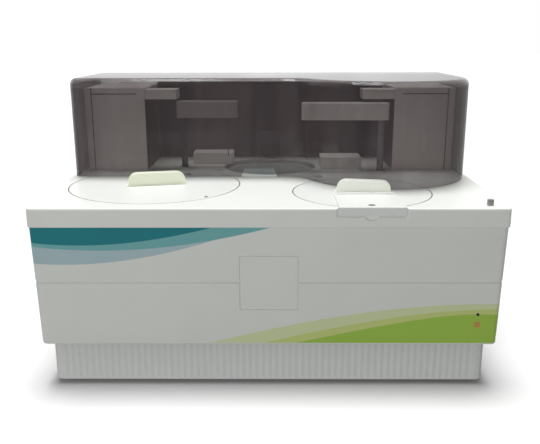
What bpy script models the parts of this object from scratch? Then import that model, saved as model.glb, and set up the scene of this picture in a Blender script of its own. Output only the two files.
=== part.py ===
"""Benchtop chemistry analyzer, in metres, +Z up, front towards -Y.

The origin is the middle of the footprint on the bench. Depths written as "back" are distances
behind the front edge of the top cover, and heights written as "up" are above the deck.
"""
import math

import bmesh
import bpy
from mathutils import Matrix, Vector

# Overall sizes
WIDTH = 0.860
DEPTH = 0.600
FOOT_HEIGHT = 0.0075
BASE_HEIGHT = 0.0745
PANEL_HEIGHT = 0.226
COVER_HEIGHT = 0.0345
HOOD_HEIGHT = 0.2095
HOOD_REAR_SETBACK = 0.040

# Width and depth that the discs, arms and hood front are drawn for; their layout scales as one
LAYOUT_WIDTH = 0.860
LAYOUT_DEPTH = 0.560

# Clearances
SEAT = 0.0003
COVER_SEAM = 0.0010
PANEL_SEAM = 0.0006
OVERRUN = 0.004
WELD = 0.000001

# Outlines are drawn this many times larger and turned, because the curve fill merges points
# under 0.03 mm and stumbles over rows of points that are level with each other
DRAWING_SCALE = 1000.0
DRAWING_TURN_DEG = 17.0

# Roundness of curved pieces
DISC_STEPS = 48
TUB_STEPS = 32
TURN_STEPS = 24
HOLE_STEPS = 8
PIN_STEPS = 12
CORNER_STEPS = 3
CASE_CORNER_STEPS = 6
RIM_STEPS = 1
HOOD_RIM_STEPS = 2
FILLET_STEPS = 6
BULGE_STEPS = 22

# Base tray with its fluted skirt
BASE_INSET = 0.0245
BASE_FRONT_INSET = 0.010
BASE_CORNER = 0.016
BASE_WALL = 0.005
FLUTE_PITCH = 0.0123
FLUTE_DEPTH = 0.0016
BASE_LIP = 0.003
BASE_LIP_PROUD = 0.0004
BASE_LIP_RIM = 0.001
FOOT_RADIUS = 0.016
FOOT_INSET = 0.060

# Chassis plate that carries the mechanism
CHASSIS_THICKNESS = 0.003
CABLE_HOLE_RADIUS = 0.030

# Casing panels
PANEL_INSET = 0.0065
PANEL_DRAFT = 0.006
PANEL_FRONT_INSET = 0.003
PANEL_WALL = 0.005
PANEL_CORNER = 0.012
PANEL_RIM = 0.0035
PANEL_RETURN = 0.070
SHEET = 0.002
REAR_INSET = 0.012
GROOVE_UP = 0.1227
GROOVE_HEIGHT = 0.0018
GROOVE_DEPTH = 0.0025
BADGE_WIDTH = 0.105
BADGE_HEIGHT = 0.102
BADGE_X = 0.001
BADGE_UP = 0.0702
BADGE_POCKET = 0.0016
BADGE_THICKNESS = 0.0010
BADGE_GAP = 0.0010
BADGE_CORNER = 0.0015
LOUVRE_COUNT = 7
LOUVRE_LENGTH = 0.110
LOUVRE_HEIGHT = 0.005
LOUVRE_PITCH = 0.014

# Lamps low on the right of the front panel
LAMP_INSET = 0.0459
POWER_LAMP_UP = 0.0606
POWER_LAMP_RADIUS = 0.0030
STATUS_LAMP_UP = 0.0406
STATUS_LAMP_WIDTH = 0.0105
LAMP_LENGTH = 0.009
LAMP_PROUD = 0.0006

# Top cover
COVER_WALL = 0.005
COVER_CORNER = 0.008
COVER_RIM = 0.003
DECK_THICKNESS = 0.006
LID_THICKNESS = 0.003
LID_GAP = 0.0022
LID_LEDGE = 0.010
THUMBSCREW_INSET = 0.0325
THUMBSCREW_BACK = 0.026
THUMBSCREW_RADIUS = 0.0058
THUMBSCREW_HEIGHT = 0.0105
THUMBSCREW_STEM = 0.0025
THUMBSCREW_STEM_LENGTH = 0.014
KNURL_COUNT = 16
KNURL_SHARE = 0.93

# Hood
HOOD_WALL = 0.004
HOOD_LEFT_INSET = 0.008
HOOD_RIGHT_INSET = 0.008
HOOD_FRONT_BACK_DRAWN = 0.291
HOOD_CORNER = 0.014
HOOD_RIM = 0.012
HOOD_LIFT = 0.0010
HOOD_NOTCH_X = -0.022
HOOD_NOTCH_WIDTH = 0.080
HOOD_NOTCH_HEIGHT = 0.017
HOOD_NOTCH_SLOPE = 0.008
HOOD_NOTCH_REACH = 0.020
BULGE_RADIUS_DRAWN = 0.1765
BULGE_FRONT_BACK_DRAWN = 0.1535
BULGE_FILLET_DRAWN = 0.060
HINGE_INSET = 0.130
HINGE_SETBACK = 0.014
HINGE_UP = 0.013
HINGE_PIN_RADIUS = 0.004
HINGE_LUG_RADIUS = 0.009
HINGE_LUG_WIDTH = 0.040
HINGE_CHEEK = 0.006
HINGE_SIDE_GAP = 0.0006
HINGE_FOOT = 0.003

# Lids, handles and the loading flap
REAGENT_X_DRAWN = -0.233
REAGENT_BACK_DRAWN = 0.208
REAGENT_LID_RADIUS_DRAWN = 0.1715
SAMPLE_X_DRAWN = 0.181
SAMPLE_BACK_DRAWN = 0.1385
SAMPLE_LID_RADIUS_DRAWN = 0.1335
PROBE_HOLE_RADIUS = 0.008
HANDLE_THICKNESS = 0.016
HANDLE_CORNER = 0.018
HANDLE_OFFSET = 0.003
HANDLE_RIM = 0.0015
HANDLE_FOOT = 0.0015
HANDLE_FOOT_MARGIN = 0.003
REAGENT_HANDLE_LENGTH = 0.118
REAGENT_HANDLE_TOP = 0.112
REAGENT_HANDLE_HEIGHT = 0.026
REAGENT_HANDLE_DEG = 12.4
SAMPLE_HANDLE_LENGTH = 0.108
SAMPLE_HANDLE_TOP = 0.098
SAMPLE_HANDLE_HEIGHT = 0.0245
SAMPLE_HANDLE_AHEAD = 0.004
SAMPLE_HANDLE_DEG = -10.0
FLAP_OFFSET = 0.003
FLAP_WIDTH = 0.120
FLAP_SETBACK = 0.0335
FLAP_THICKNESS = 0.0025
FLAP_LIP = 0.0140
FLAP_GAP = 0.0010
FLAP_WINDOW_WIDTH = 0.086
FLAP_WINDOW_REAR = 0.013
FLAP_WINDOW_BACK = 0.028
FLAP_PIN_RADIUS = 0.0010
FLAP_BARREL_RADIUS = 0.0027
FLAP_BARREL_LENGTH = 0.080
FLAP_EAR_LENGTH = 0.014
FLAP_LOCK_RADIUS = 0.0070
FLAP_LOCK_BACK = 0.0150
FLAP_LOCK_DEPTH = 0.0010
NOTCH_RADIUS = 0.0135
NOTCH_DROP = 0.0065
LIP_RECESS = 0.0034
RECESS_BEVEL = 0.003

# Reagent, sample and reaction carousels with their tubs and drives
TUB_WALL = 0.003
TUB_FLOOR = 0.004
ROTOR_GAP = 0.005
ROTOR_PLATE = 0.004
ROTOR_HUB_RADIUS = 0.022
SPINDLE_RADIUS = 0.006
SPINDLE_GAP = 0.0004
SPINDLE_REACH = 0.036
ROTOR_LIFT = 0.006
DRIVE_FOOT_RADIUS = 0.048
DRIVE_COLUMN_RADIUS = 0.028
DRIVE_FLANGE = 0.005
REAGENT_TUB_DEPTH = 0.105
REAGENT_BOTTLE_COUNT = 18
REAGENT_BOTTLE_RADIUS = 0.0165
REAGENT_RING_RADIUS_DRAWN = 0.1235
REAGENT_RACK_HEIGHT = 0.050
SAMPLE_TUB_DEPTH = 0.100
SAMPLE_TUBE_COUNT = 20
SAMPLE_TUBE_RADIUS = 0.0075
SAMPLE_RING_RADIUS_DRAWN = 0.1020
SAMPLE_RACK_HEIGHT = 0.060
REACTION_BACK_DRAWN = 0.420
REACTION_GAP = 0.004
REACTION_TUB_DEPTH = 0.085
REACTION_RING_RADIUS_DRAWN = 0.097
CUVETTE_COUNT = 36
CUVETTE_WIDTH = 0.006
CUVETTE_LENGTH = 0.008
CUVETTE_DEPTH = 0.037
CUVETTE_DROP = 0.008
CUVETTE_WALL = 0.003

# Pipetting arms
ARM_UP = 0.114
ARM_HEIGHT = 0.038
ARM_RIM = 0.003
ARM_CORNER = 0.0065
ARM_WALL = 0.0025
ARM_POST_END = 0.0150
ARM_PROBE_END = 0.0125
REAGENT_ARM_NOSE = 0.011
ARM_ROOF = 0.004
POST_RADIUS = 0.0075
POST_GAP = 0.0004
POST_BORE_GAP = 0.003
POST_BOSS = 0.004
POST_GRIP = 0.020
PROBE_RADIUS = 0.0010
PROBE_HOLDER_RADIUS = 0.0030
PROBE_HOLDER_DROP = 0.024
PROBE_TIP_UP = 0.025
PROBE_BOSS = 0.0025
REAGENT_POST_X_DRAWN = -0.1990
SAMPLE_POST_X_DRAWN = 0.2510
SAMPLE_CUVETTE_STEP = 3
CARRIAGE_WIDTH = 0.040
CARRIAGE_DEPTH = 0.036
CARRIAGE_HEIGHT = 0.045
CARRIAGE_UP = 0.085
DRIVE_CASE_WALL = 0.004
DRIVE_CASE_BACK = 0.016
WELL_RADIUS = 0.0075
WELL_BORE = 0.0050
WELL_FLANGE = 0.0105
WELL_FLANGE_HEIGHT = 0.002
WELL_DEPTH = 0.060
REAGENT_WELL_DEG = -32.0
SAMPLE_WELL_DEG = 30.0

# Fittings on the deck under the hood
HOUSING_WIDTH = 0.1345
HOUSING_INSET = 0.0175
HOUSING_DEPTH = 0.1805
HOUSING_HEIGHT = 0.184
HOUSING_WALL = 0.003
HOUSING_RIM = 0.002
HOUSING_HEAD_REACH = 0.070
HOUSING_HEAD_DEPTH = 0.060
HOUSING_HEAD_HEIGHT = 0.021
HOUSING_HEAD_MARGIN = 0.004
HOUSING_GROOVE = 0.0022
HOUSING_GROOVE_DEPTH = 0.0014
HOUSING_GROOVE_INSET = 0.0155
HOUSING_GROOVE_UP = 0.171
HOUSING_GROOVE_STOP = 0.018
REAR_WALL_SETBACK = 0.0125
REAR_WALL_THICKNESS = 0.003
REAR_WALL_HEIGHT = 0.188
WASH_COLUMN_WIDTH = 0.030
WASH_COLUMN_DEPTH = 0.012
WASH_COLUMN_GAP = 0.0025
WASH_HEAD_WIDTH = 0.062
WASH_HEAD_UP = 0.046
WASH_HEAD_HEIGHT = 0.022
WASH_HEAD_REACH = 0.012
WASH_NOZZLE_COUNT = 4
WASH_NOZZLE_RADIUS = 0.0012
WASH_NOZZLE_UP = 0.004
LAMP_HOUSE_X_DRAWN = 0.1635
LAMP_HOUSE_WIDTH = 0.093
LAMP_HOUSE_SETBACK = 0.1035
LAMP_HOUSE_DEPTH = 0.062
LAMP_HOUSE_HEIGHT = 0.027
DETECTOR_X_DRAWN = -0.1350
DETECTOR_WIDTH = 0.096
DETECTOR_SETBACK = 0.0475
DETECTOR_DEPTH = 0.052
DETECTOR_HEIGHT = 0.027
BLOCK_RIM = 0.002

# Fluidics and electrics inside the casing
SYRINGE_INSET = 0.058
SYRINGE_BACK = 0.060
SYRINGE_WIDTH = 0.064
SYRINGE_DEPTH = 0.028
SYRINGE_BLOCK_HEIGHT = 0.090
SYRINGE_PLATE = 0.005
SYRINGE_FOOT_DEPTH = 0.050
SYRINGE_PITCH = 0.030
SYRINGE_UP = 0.074
PLUNGER_RADIUS = 0.0050
PLUNGER_GAP = 0.0004
PLUNGER_LENGTH = 0.062
PLUNGER_SHOWN = 0.022
PLUNGER_HEAD = 0.010
PLUNGER_HEAD_HEIGHT = 0.005
SUPPLY_WIDTH = 0.200
SUPPLY_DEPTH = 0.110
SUPPLY_HEIGHT = 0.050
SUPPLY_INSET = 0.180
SUPPLY_SETBACK = 0.050
BOARD_INSET = 0.110
BOARD_SETBACK = 0.050
BOARD_WIDTH = 0.160
BOARD_DEPTH = 0.120
BOARD_THICKNESS = 0.0016
BOARD_STANDOFF = 0.008
BOARD_STANDOFF_RADIUS = 0.003
CHIP_WIDTH = 0.030
CHIP_HEIGHT = 0.004
HEADER_DEPTH = 0.008
HEADER_HEIGHT = 0.010
FAN_INSET = 0.240
FAN_UP = 0.150
FAN_SIZE = 0.080
FAN_DEPTH = 0.025
FAN_DUCT_RADIUS = 0.037
FAN_HUB_RADIUS = 0.016
FAN_HUB_DEPTH = 0.016
FAN_TIP_GAP = 0.0015
FAN_BLADE_COUNT = 7
FAN_BLADE_THICKNESS = 0.0015
FAN_BLADE_CHORD = 0.014
FAN_BLADE_DEG = 38.0
FAN_SPIDER = 0.003
FAN_SPOKE = 0.004
FAN_PIN_RADIUS = 0.003
FAN_PIN_LENGTH = 0.008
INLET_INSET = 0.130
INLET_UP = 0.050
INLET_WIDTH = 0.050
INLET_HEIGHT = 0.060
INLET_DEPTH = 0.030
INLET_FLANGE = 0.006
INLET_FLANGE_DEPTH = 0.004
SOCKET_WIDTH = 0.026
SOCKET_HEIGHT = 0.018
SOCKET_DEPTH = 0.018
SOCKET_DROP = 0.012
CONTACT_WIDTH = 0.002
CONTACT_HEIGHT = 0.005
CONTACT_LENGTH = 0.014
CONTACT_PITCH = 0.007
ROCKER_WIDTH = 0.020
ROCKER_HEIGHT = 0.014
ROCKER_RAISE = 0.017
ROCKER_POCKET = 0.012
ROCKER_TILT_DEG = 10.0
ROCKER_GAP = 0.0014
ROCKER_FACE = 0.003

# Levels and planes worked out from the sizes above
BASE_LOW = FOOT_HEIGHT
BASE_TOP = BASE_LOW + BASE_HEIGHT
COVER_LOW = BASE_TOP + PANEL_HEIGHT + COVER_SEAM
DECK = COVER_LOW + COVER_HEIGHT
DECK_UNDER = DECK - DECK_THICKNESS
HOOD_LOW = DECK + HOOD_LIFT
HOOD_TOP = DECK + HOOD_HEIGHT
CHASSIS_LOW = BASE_TOP + SEAT
CHASSIS_TOP = CHASSIS_LOW + CHASSIS_THICKNESS
PANEL_LOW = BASE_TOP
PANEL_TOP = COVER_LOW - COVER_SEAM
FRONT = -DEPTH / 2
HALF_WIDTH = WIDTH / 2
HOOD_REAR_BACK = DEPTH - HOOD_REAR_SETBACK
LAYOUT = min(WIDTH / LAYOUT_WIDTH, HOOD_REAR_BACK / LAYOUT_DEPTH)
HOOD_LEFT = HALF_WIDTH - HOOD_LEFT_INSET
HOOD_RIGHT = HALF_WIDTH - HOOD_RIGHT_INSET
HOOD_FRONT_BACK = HOOD_FRONT_BACK_DRAWN * LAYOUT
BULGE_RADIUS = BULGE_RADIUS_DRAWN * LAYOUT
BULGE_FRONT_BACK = BULGE_FRONT_BACK_DRAWN * LAYOUT
BULGE_FILLET = BULGE_FILLET_DRAWN * LAYOUT
BULGE_X = HOOD_RIGHT - BULGE_RADIUS
HINGE_X = HALF_WIDTH - HINGE_INSET
REAGENT_X = REAGENT_X_DRAWN * LAYOUT
REAGENT_BACK = REAGENT_BACK_DRAWN * LAYOUT
REAGENT_LID_RADIUS = REAGENT_LID_RADIUS_DRAWN * LAYOUT
REAGENT_RING_RADIUS = REAGENT_RING_RADIUS_DRAWN * LAYOUT
SAMPLE_X = SAMPLE_X_DRAWN * LAYOUT
SAMPLE_BACK = SAMPLE_BACK_DRAWN * LAYOUT
SAMPLE_LID_RADIUS = SAMPLE_LID_RADIUS_DRAWN * LAYOUT
SAMPLE_RING_RADIUS = SAMPLE_RING_RADIUS_DRAWN * LAYOUT
REACTION_BACK = REACTION_BACK_DRAWN * LAYOUT
REACTION_RING_RADIUS = REACTION_RING_RADIUS_DRAWN * LAYOUT
REACTION_OUTER = REACTION_RING_RADIUS + CUVETTE_LENGTH / 2 + CUVETTE_WALL / 2
REACTION_OPENING = REACTION_OUTER + REACTION_GAP
REAGENT_POST_X = REAGENT_POST_X_DRAWN * LAYOUT
SAMPLE_POST_X = SAMPLE_POST_X_DRAWN * LAYOUT
FLAP_X = SAMPLE_X + FLAP_OFFSET
FLAP_BACK = SAMPLE_BACK - FLAP_SETBACK
FLAP_WINDOW_DEPTH = FLAP_BACK - FLAP_WINDOW_REAR - FLAP_WINDOW_BACK
REAR_WALL_BACK = HOOD_REAR_BACK - REAR_WALL_SETBACK
HOUSING_OUTER_X = HALF_WIDTH - HOUSING_INSET
HOUSING_INNER_X = HOUSING_OUTER_X - HOUSING_WIDTH
HOUSING_BACK = REAR_WALL_BACK + REAR_WALL_THICKNESS - HOUSING_DEPTH
WASH_COLUMN_BACK = REAR_WALL_BACK - WASH_COLUMN_GAP - WASH_COLUMN_DEPTH
WASH_HEAD_BACK = REACTION_BACK + REACTION_RING_RADIUS - WASH_HEAD_REACH
LAMP_HOUSE_X = LAMP_HOUSE_X_DRAWN * LAYOUT
LAMP_HOUSE_BACK = REAR_WALL_BACK - LAMP_HOUSE_SETBACK - LAMP_HOUSE_DEPTH
DETECTOR_X = DETECTOR_X_DRAWN * LAYOUT
DETECTOR_BACK = REAR_WALL_BACK - DETECTOR_SETBACK - DETECTOR_DEPTH
LAMP_X = HALF_WIDTH - LAMP_INSET
THUMBSCREW_X = HALF_WIDTH - THUMBSCREW_INSET
SYRINGE_X = HALF_WIDTH - SYRINGE_INSET
SUPPLY_X = HALF_WIDTH - SUPPLY_INSET
SUPPLY_BACK = DEPTH - SUPPLY_SETBACK - SUPPLY_DEPTH
BOARD_X = BOARD_INSET - HALF_WIDTH
BOARD_BACK = DEPTH - BOARD_SETBACK - BOARD_DEPTH / 2
FAN_X = HALF_WIDTH - FAN_INSET
INLET_X = INLET_INSET - HALF_WIDTH
PANEL_HALF = HALF_WIDTH - PANEL_INSET
PANEL_FRONT = FRONT + PANEL_FRONT_INSET
REAR_FACE = FRONT + DEPTH - REAR_INSET
REAGENT_Y = FRONT + REAGENT_BACK
SAMPLE_Y = FRONT + SAMPLE_BACK
REACTION_Y = FRONT + REACTION_BACK
REAGENT_LINK = -REACTION_RING_RADIUS - REAGENT_POST_X
REAGENT_POST_Y = REACTION_Y
SAMPLE_ANGLE = SAMPLE_CUVETTE_STEP * 2 * math.pi / CUVETTE_COUNT
SAMPLE_LINK = SAMPLE_POST_X - REACTION_RING_RADIUS * math.cos(SAMPLE_ANGLE)
SAMPLE_POST_Y = REACTION_Y - REACTION_RING_RADIUS * math.sin(SAMPLE_ANGLE)
HINGE_Y = FRONT + HOOD_REAR_BACK + HINGE_SETBACK
HINGE_Z = DECK + HINGE_UP
FLAP_UNDER = DECK + SEAT
FLAP_AXIS_Y = FRONT + FLAP_BACK
FLAP_AXIS_Z = DECK + 2 * SEAT + FLAP_BARREL_RADIUS

# Directions
FACING_FRONT = Matrix(((1, 0, 0), (0, 0, -1), (0, 1, 0))).to_4x4()
ALONG_X = Matrix(((0, 0, 1), (1, 0, 0), (0, 1, 0))).to_4x4()

parts = None
helpers = None


def start_scene():
    """Empty the file and make one collection for the parts and one for the cutters."""
    global parts, helpers
    for item in list(bpy.data.objects):
        bpy.data.objects.remove(item, do_unlink=True)
    parts = bpy.data.collections.new("chemistry_analyzer")
    helpers = bpy.data.collections.new("cutters")
    bpy.context.scene.collection.children.link(parts)
    bpy.context.scene.collection.children.link(helpers)


def surface(name, color, roughness, metallic=0.0, transmission=0.0):
    """Principled material of one sub-part."""
    material = bpy.data.materials.new(name)
    material.use_nodes = True
    shader = material.node_tree.nodes["Principled BSDF"]
    shader.inputs["Base Color"].default_value = (*color, 1.0)
    shader.inputs["Roughness"].default_value = roughness
    shader.inputs["Metallic"].default_value = metallic
    shader.inputs["Transmission Weight"].default_value = transmission
    return material


def white_plastic(name):
    """Warm white moulded plastic of the covers."""
    return surface(name, (0.83, 0.84, 0.81), 0.38)


def grey_panel(name):
    """Light grey painted panel."""
    return surface(name, (0.66, 0.68, 0.65), 0.42)


def steel(name):
    """Bright machined steel."""
    return surface(name, (0.62, 0.63, 0.65), 0.28, metallic=1.0)


def dark_plastic(name):
    """Dark grey technical plastic."""
    return surface(name, (0.06, 0.06, 0.065), 0.45)


def object_from(name, mesh, look):
    """Object in the parts collection, or in the cutters when it has no material."""
    piece = bpy.data.objects.new(name, mesh)
    if look is None:
        helpers.objects.link(piece)
        piece.display_type = "WIRE"
        piece.hide_render = True
    else:
        parts.objects.link(piece)
        mesh.materials.append(look)
    return piece


def mesh_from(name, form):
    """Mesh data from a bmesh whose faces are turned outwards."""
    bmesh.ops.recalc_face_normals(form, faces=form.faces)
    mesh = bpy.data.meshes.new(name)
    form.to_mesh(mesh)
    form.free()
    return mesh


def box(name, low, high, look=None):
    """Box between two corners."""
    form = bmesh.new()
    bmesh.ops.create_cube(form, size=1.0)
    size = Vector(high) - Vector(low)
    middle = (Vector(high) + Vector(low)) / 2
    bmesh.ops.scale(form, vec=size, verts=form.verts)
    bmesh.ops.translate(form, vec=middle, verts=form.verts)
    return object_from(name, mesh_from(name, form), look)


def rod(name, radius, start, end, look=None, steps=PIN_STEPS, end_radius=None):
    """Round bar or cone between two points."""
    form = bmesh.new()
    start = Vector(start)
    end = Vector(end)
    run = end - start
    bmesh.ops.create_cone(form, cap_ends=True, segments=steps, radius1=radius,
                          radius2=end_radius if end_radius is not None else radius,
                          depth=run.length)
    turn = run.to_track_quat("Z", "Y").to_matrix().to_4x4()
    bmesh.ops.transform(form, matrix=Matrix.Translation((start + end) / 2) @ turn, verts=form.verts)
    return object_from(name, mesh_from(name, form), look)


def arc(x, y, radius, first_deg, last_deg, steps):
    """Points of an arc, ends included."""
    points = []
    for index in range(steps + 1):
        angle = math.radians(first_deg + (last_deg - first_deg) * index / steps)
        points.append((x + radius * math.cos(angle), y + radius * math.sin(angle)))
    return points


def circle(x, y, radius, steps=DISC_STEPS):
    """Closed circle of points."""
    return arc(x, y, radius, 0, 360, steps)[:-1]


def rounded(left, right, low, high, radius, steps=CORNER_STEPS):
    """Rectangle with round corners."""
    points = arc(right - radius, low + radius, radius, -90, 0, steps)
    points += arc(right - radius, high - radius, radius, 0, 90, steps)
    points += arc(left + radius, high - radius, radius, 90, 180, steps)
    points += arc(left + radius, low + radius, radius, 180, 270, steps)
    return points


def rectangle(left, right, low, high):
    """Rectangle with square corners."""
    return [(left, low), (right, low), (right, high), (left, high)]


def extruded(loops, low, high, rim, rim_steps, rim_low, rim_high):
    """Filled outline from low to high as a bmesh, with its chosen rims rounded."""
    bottom = low if rim_low else low - 2 * rim
    top = high if rim_high else high + 2 * rim
    curve = bpy.data.curves.new("outline", "CURVE")
    curve.dimensions = "2D"
    curve.fill_mode = "BOTH"
    curve.extrude = ((top - bottom) / 2 - rim) * DRAWING_SCALE
    curve.bevel_depth = rim * DRAWING_SCALE
    curve.bevel_resolution = rim_steps
    curve.offset = -rim * DRAWING_SCALE
    drawing = Matrix.Rotation(math.radians(DRAWING_TURN_DEG), 4, "Z")
    drawing = drawing @ Matrix.Scale(DRAWING_SCALE, 4)
    for loop in loops:
        spline = curve.splines.new("POLY")
        spline.points.add(len(loop) - 1)
        for point, (x, y) in zip(spline.points, loop):
            point.co = (*(drawing @ Vector((x, y, 0))), 1)
        spline.use_cyclic_u = True
    holder = bpy.data.objects.new("outline", curve)
    bpy.context.scene.collection.objects.link(holder)
    graph = bpy.context.evaluated_depsgraph_get()
    mesh = bpy.data.meshes.new_from_object(holder.evaluated_get(graph))
    form = bmesh.new()
    form.from_mesh(mesh)
    bpy.data.meshes.remove(mesh)
    bpy.data.objects.remove(holder)
    bpy.data.curves.remove(curve)
    lift = Matrix.Translation((0, 0, (top + bottom) / 2))
    bmesh.ops.transform(form, matrix=lift @ drawing.inverted(), verts=form.verts)
    bmesh.ops.remove_doubles(form, verts=form.verts, dist=WELD)
    if not rim_low:
        trim(form, low, -1, True)
    if not rim_high:
        trim(form, high, 1, True)
    return form


def trim(form, level, side, close):
    """Cut a bmesh at a level and drop what lies above (side 1) or below (side -1)."""
    everything = form.verts[:] + form.edges[:] + form.faces[:]
    result = bmesh.ops.bisect_plane(form, geom=everything, plane_co=(0, 0, level),
                                    plane_no=(0, 0, side), clear_outer=True)
    if close:
        rim = [item for item in result["geom_cut"] if isinstance(item, bmesh.types.BMEdge)]
        bmesh.ops.triangle_fill(form, use_beauty=True, use_dissolve=False, edges=rim)


def slab(name, loops, low, high, look=None, rim=0.0, rim_steps=RIM_STEPS,
         rim_low=True, rim_high=True, turn=None):
    """Flat outline with holes, extruded along Z and then turned."""
    form = extruded(loops, low, high, rim, rim_steps, rim_low, rim_high)
    if turn is not None:
        bmesh.ops.transform(form, matrix=turn, verts=form.verts)
    return object_from(name, mesh_from(name, form), look)


def ring(name, loops):
    """Closed ring through outlines, each given with its height, that have the same point count."""
    form = bmesh.new()
    rows = [[form.verts.new((x, y, height)) for x, y in loop] for loop, height in loops]
    for index, row in enumerate(rows):
        other = rows[index - 1]
        for step in range(len(row)):
            form.faces.new((row[step - 1], row[step], other[step], other[step - 1]))
    bmesh.ops.triangulate(form, faces=form.faces)
    return object_from(name, mesh_from(name, form), None)


def turned(name, profile, place, look=None, steps=TURN_STEPS):
    """Closed profile of (radius, height) points, top to bottom outside, turned about Z."""
    form = bmesh.new()
    corners = [form.verts.new((radius, 0, height)) for radius, height in profile]
    on_axis = profile[0][0] == 0 and profile[-1][0] == 0
    for index in range(len(corners) - (1 if on_axis else 0)):
        form.edges.new((corners[index], corners[(index + 1) % len(corners)]))
    mesh = bpy.data.meshes.new(name)
    form.to_mesh(mesh)
    form.free()
    piece = object_from(name, mesh, look)
    piece.location = place
    screw = piece.modifiers.new("turn", "SCREW")
    screw.steps = steps
    screw.render_steps = steps
    screw.use_merge_vertices = True
    screw.merge_threshold = WELD
    return piece


def combine(piece, operation, others):
    """Add Boolean modifiers that cut or join the other shapes."""
    for other in others:
        step = piece.modifiers.new(operation.lower(), "BOOLEAN")
        step.operation = operation
        step.solver = "EXACT"
        step.object = other
    return piece


def cut(piece, *others):
    """Cut shapes out of a piece."""
    return combine(piece, "DIFFERENCE", others)


def join(piece, *others):
    """Join shapes to a piece."""
    return combine(piece, "UNION", others)


def set_origin(piece, point):
    """Move a piece's origin to a point without moving its shape."""
    shift = Vector(point) - piece.location
    piece.data.transform(Matrix.Translation(-shift))
    piece.location = point
    return piece


def smooth(piece, angle_deg=35.0):
    """Shade curved faces smooth and keep edges sharp."""
    piece.data.shade_smooth()
    piece.data.set_sharp_from_angle(angle=math.radians(angle_deg))
    return piece


# Base, feet and chassis

def fluted_side(start, end, count):
    """Points along one straight side with V grooves cut into it, to the left of its run."""
    start = Vector(start)
    run = Vector(end) - start
    inward = Vector((-run.y, run.x)).normalized() * FLUTE_DEPTH
    points = []
    for index in range(2 * count - 1):
        crest = start + run * (index + 1) / (2 * count)
        points.append(crest + inward * (index % 2))
    return [(point.x, point.y) for point in points]


def base_outline():
    """Outline of the base with flutes on its front and sides."""
    half = HALF_WIDTH - BASE_INSET
    front = FRONT + BASE_FRONT_INSET
    back = REAR_FACE
    corner = BASE_CORNER
    across = round((2 * half - 2 * corner) / FLUTE_PITCH)
    along = round((back - front - 2 * corner) / FLUTE_PITCH)
    points = fluted_side((-half + corner, front), (half - corner, front), across)
    points += arc(half - corner, front + corner, corner, -90, 0, CORNER_STEPS)
    points += fluted_side((half, front + corner), (half, back - corner), along)
    points += arc(half - corner, back - corner, corner, 0, 90, CORNER_STEPS)
    points += arc(-half + corner, back - corner, corner, 90, 180, CORNER_STEPS)
    points += fluted_side((-half, back - corner), (-half, front + corner), along)
    points += arc(-half + corner, front + corner, corner, 180, 270, CORNER_STEPS)
    return points


def make_base():
    """Tray with a fluted skirt, on four feet, and the chassis plate that it carries."""
    tray = slab("base_tray", [base_outline()], BASE_LOW + BASE_LIP / 2, BASE_TOP,
                grey_panel("base_grey"))
    half = HALF_WIDTH - BASE_INSET - BASE_WALL
    hollow = slab("base_hollow", [rounded(-half, half, FRONT + BASE_FRONT_INSET + BASE_WALL,
                                          REAR_FACE - BASE_WALL, BASE_CORNER - BASE_WALL)],
                  BASE_LOW + BASE_WALL, BASE_TOP + OVERRUN)
    lip_half = HALF_WIDTH - BASE_INSET + BASE_LIP_PROUD
    lip = slab("base_lip", [rounded(-lip_half, lip_half, FRONT + BASE_FRONT_INSET - BASE_LIP_PROUD,
                                    REAR_FACE + BASE_LIP_PROUD, BASE_CORNER)],
               BASE_LOW, BASE_LOW + BASE_LIP, rim=BASE_LIP_RIM, rim_high=False)
    join(tray, lip)
    cut(tray, hollow)
    foot_x = HALF_WIDTH - FOOT_INSET
    foot_look = surface("foot_rubber", (0.03, 0.03, 0.03), 0.7)
    places = {
        "foot_front_left": (-foot_x, FRONT + FOOT_INSET),
        "foot_front_right": (foot_x, FRONT + FOOT_INSET),
        "foot_rear_left": (-foot_x, FRONT + DEPTH - FOOT_INSET),
        "foot_rear_right": (foot_x, FRONT + DEPTH - FOOT_INSET),
    }
    for name, (x, y) in places.items():
        rod(name, FOOT_RADIUS, (x, y, 0), (x, y, FOOT_HEIGHT - SEAT), foot_look, TURN_STEPS)
    inner = PANEL_HALF - PANEL_WALL - SEAT
    outline = rounded(-inner, inner, PANEL_FRONT + PANEL_WALL + SEAT,
                      REAR_FACE - SHEET - SEAT, PANEL_CORNER - PANEL_WALL)
    holes = [circle(x, FRONT + DEPTH / 2, CABLE_HOLE_RADIUS, TURN_STEPS)
             for x in (REAGENT_POST_X + REAGENT_LINK / 2, SAMPLE_X)]
    slab("chassis_plate", [outline] + holes, CHASSIS_LOW, CHASSIS_TOP, steel("chassis_steel"))


# Casing panels, which are drawn for their foot and widen evenly to the top

def widening(height):
    """Width at a height as a multiple of the width at the panels' foot."""
    return 1 + PANEL_DRAFT / PANEL_HALF * (height - PANEL_LOW) / PANEL_HEIGHT


def drafted(piece):
    """Widen a straight-sided piece towards its top."""
    form = bmesh.new()
    form.from_mesh(piece.data)
    for vert in form.verts:
        vert.co.x *= widening(vert.co.z)
    bmesh.ops.triangulate(form, faces=form.faces)
    form.to_mesh(piece.data)
    form.free()
    return piece


def panel_outline(inset, back):
    """Outline of the front panel at its foot, moved inwards by an inset."""
    side = PANEL_HALF - inset
    return rounded(-side, side, PANEL_FRONT + inset, back, PANEL_CORNER - inset,
                   CASE_CORNER_STEPS)


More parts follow.
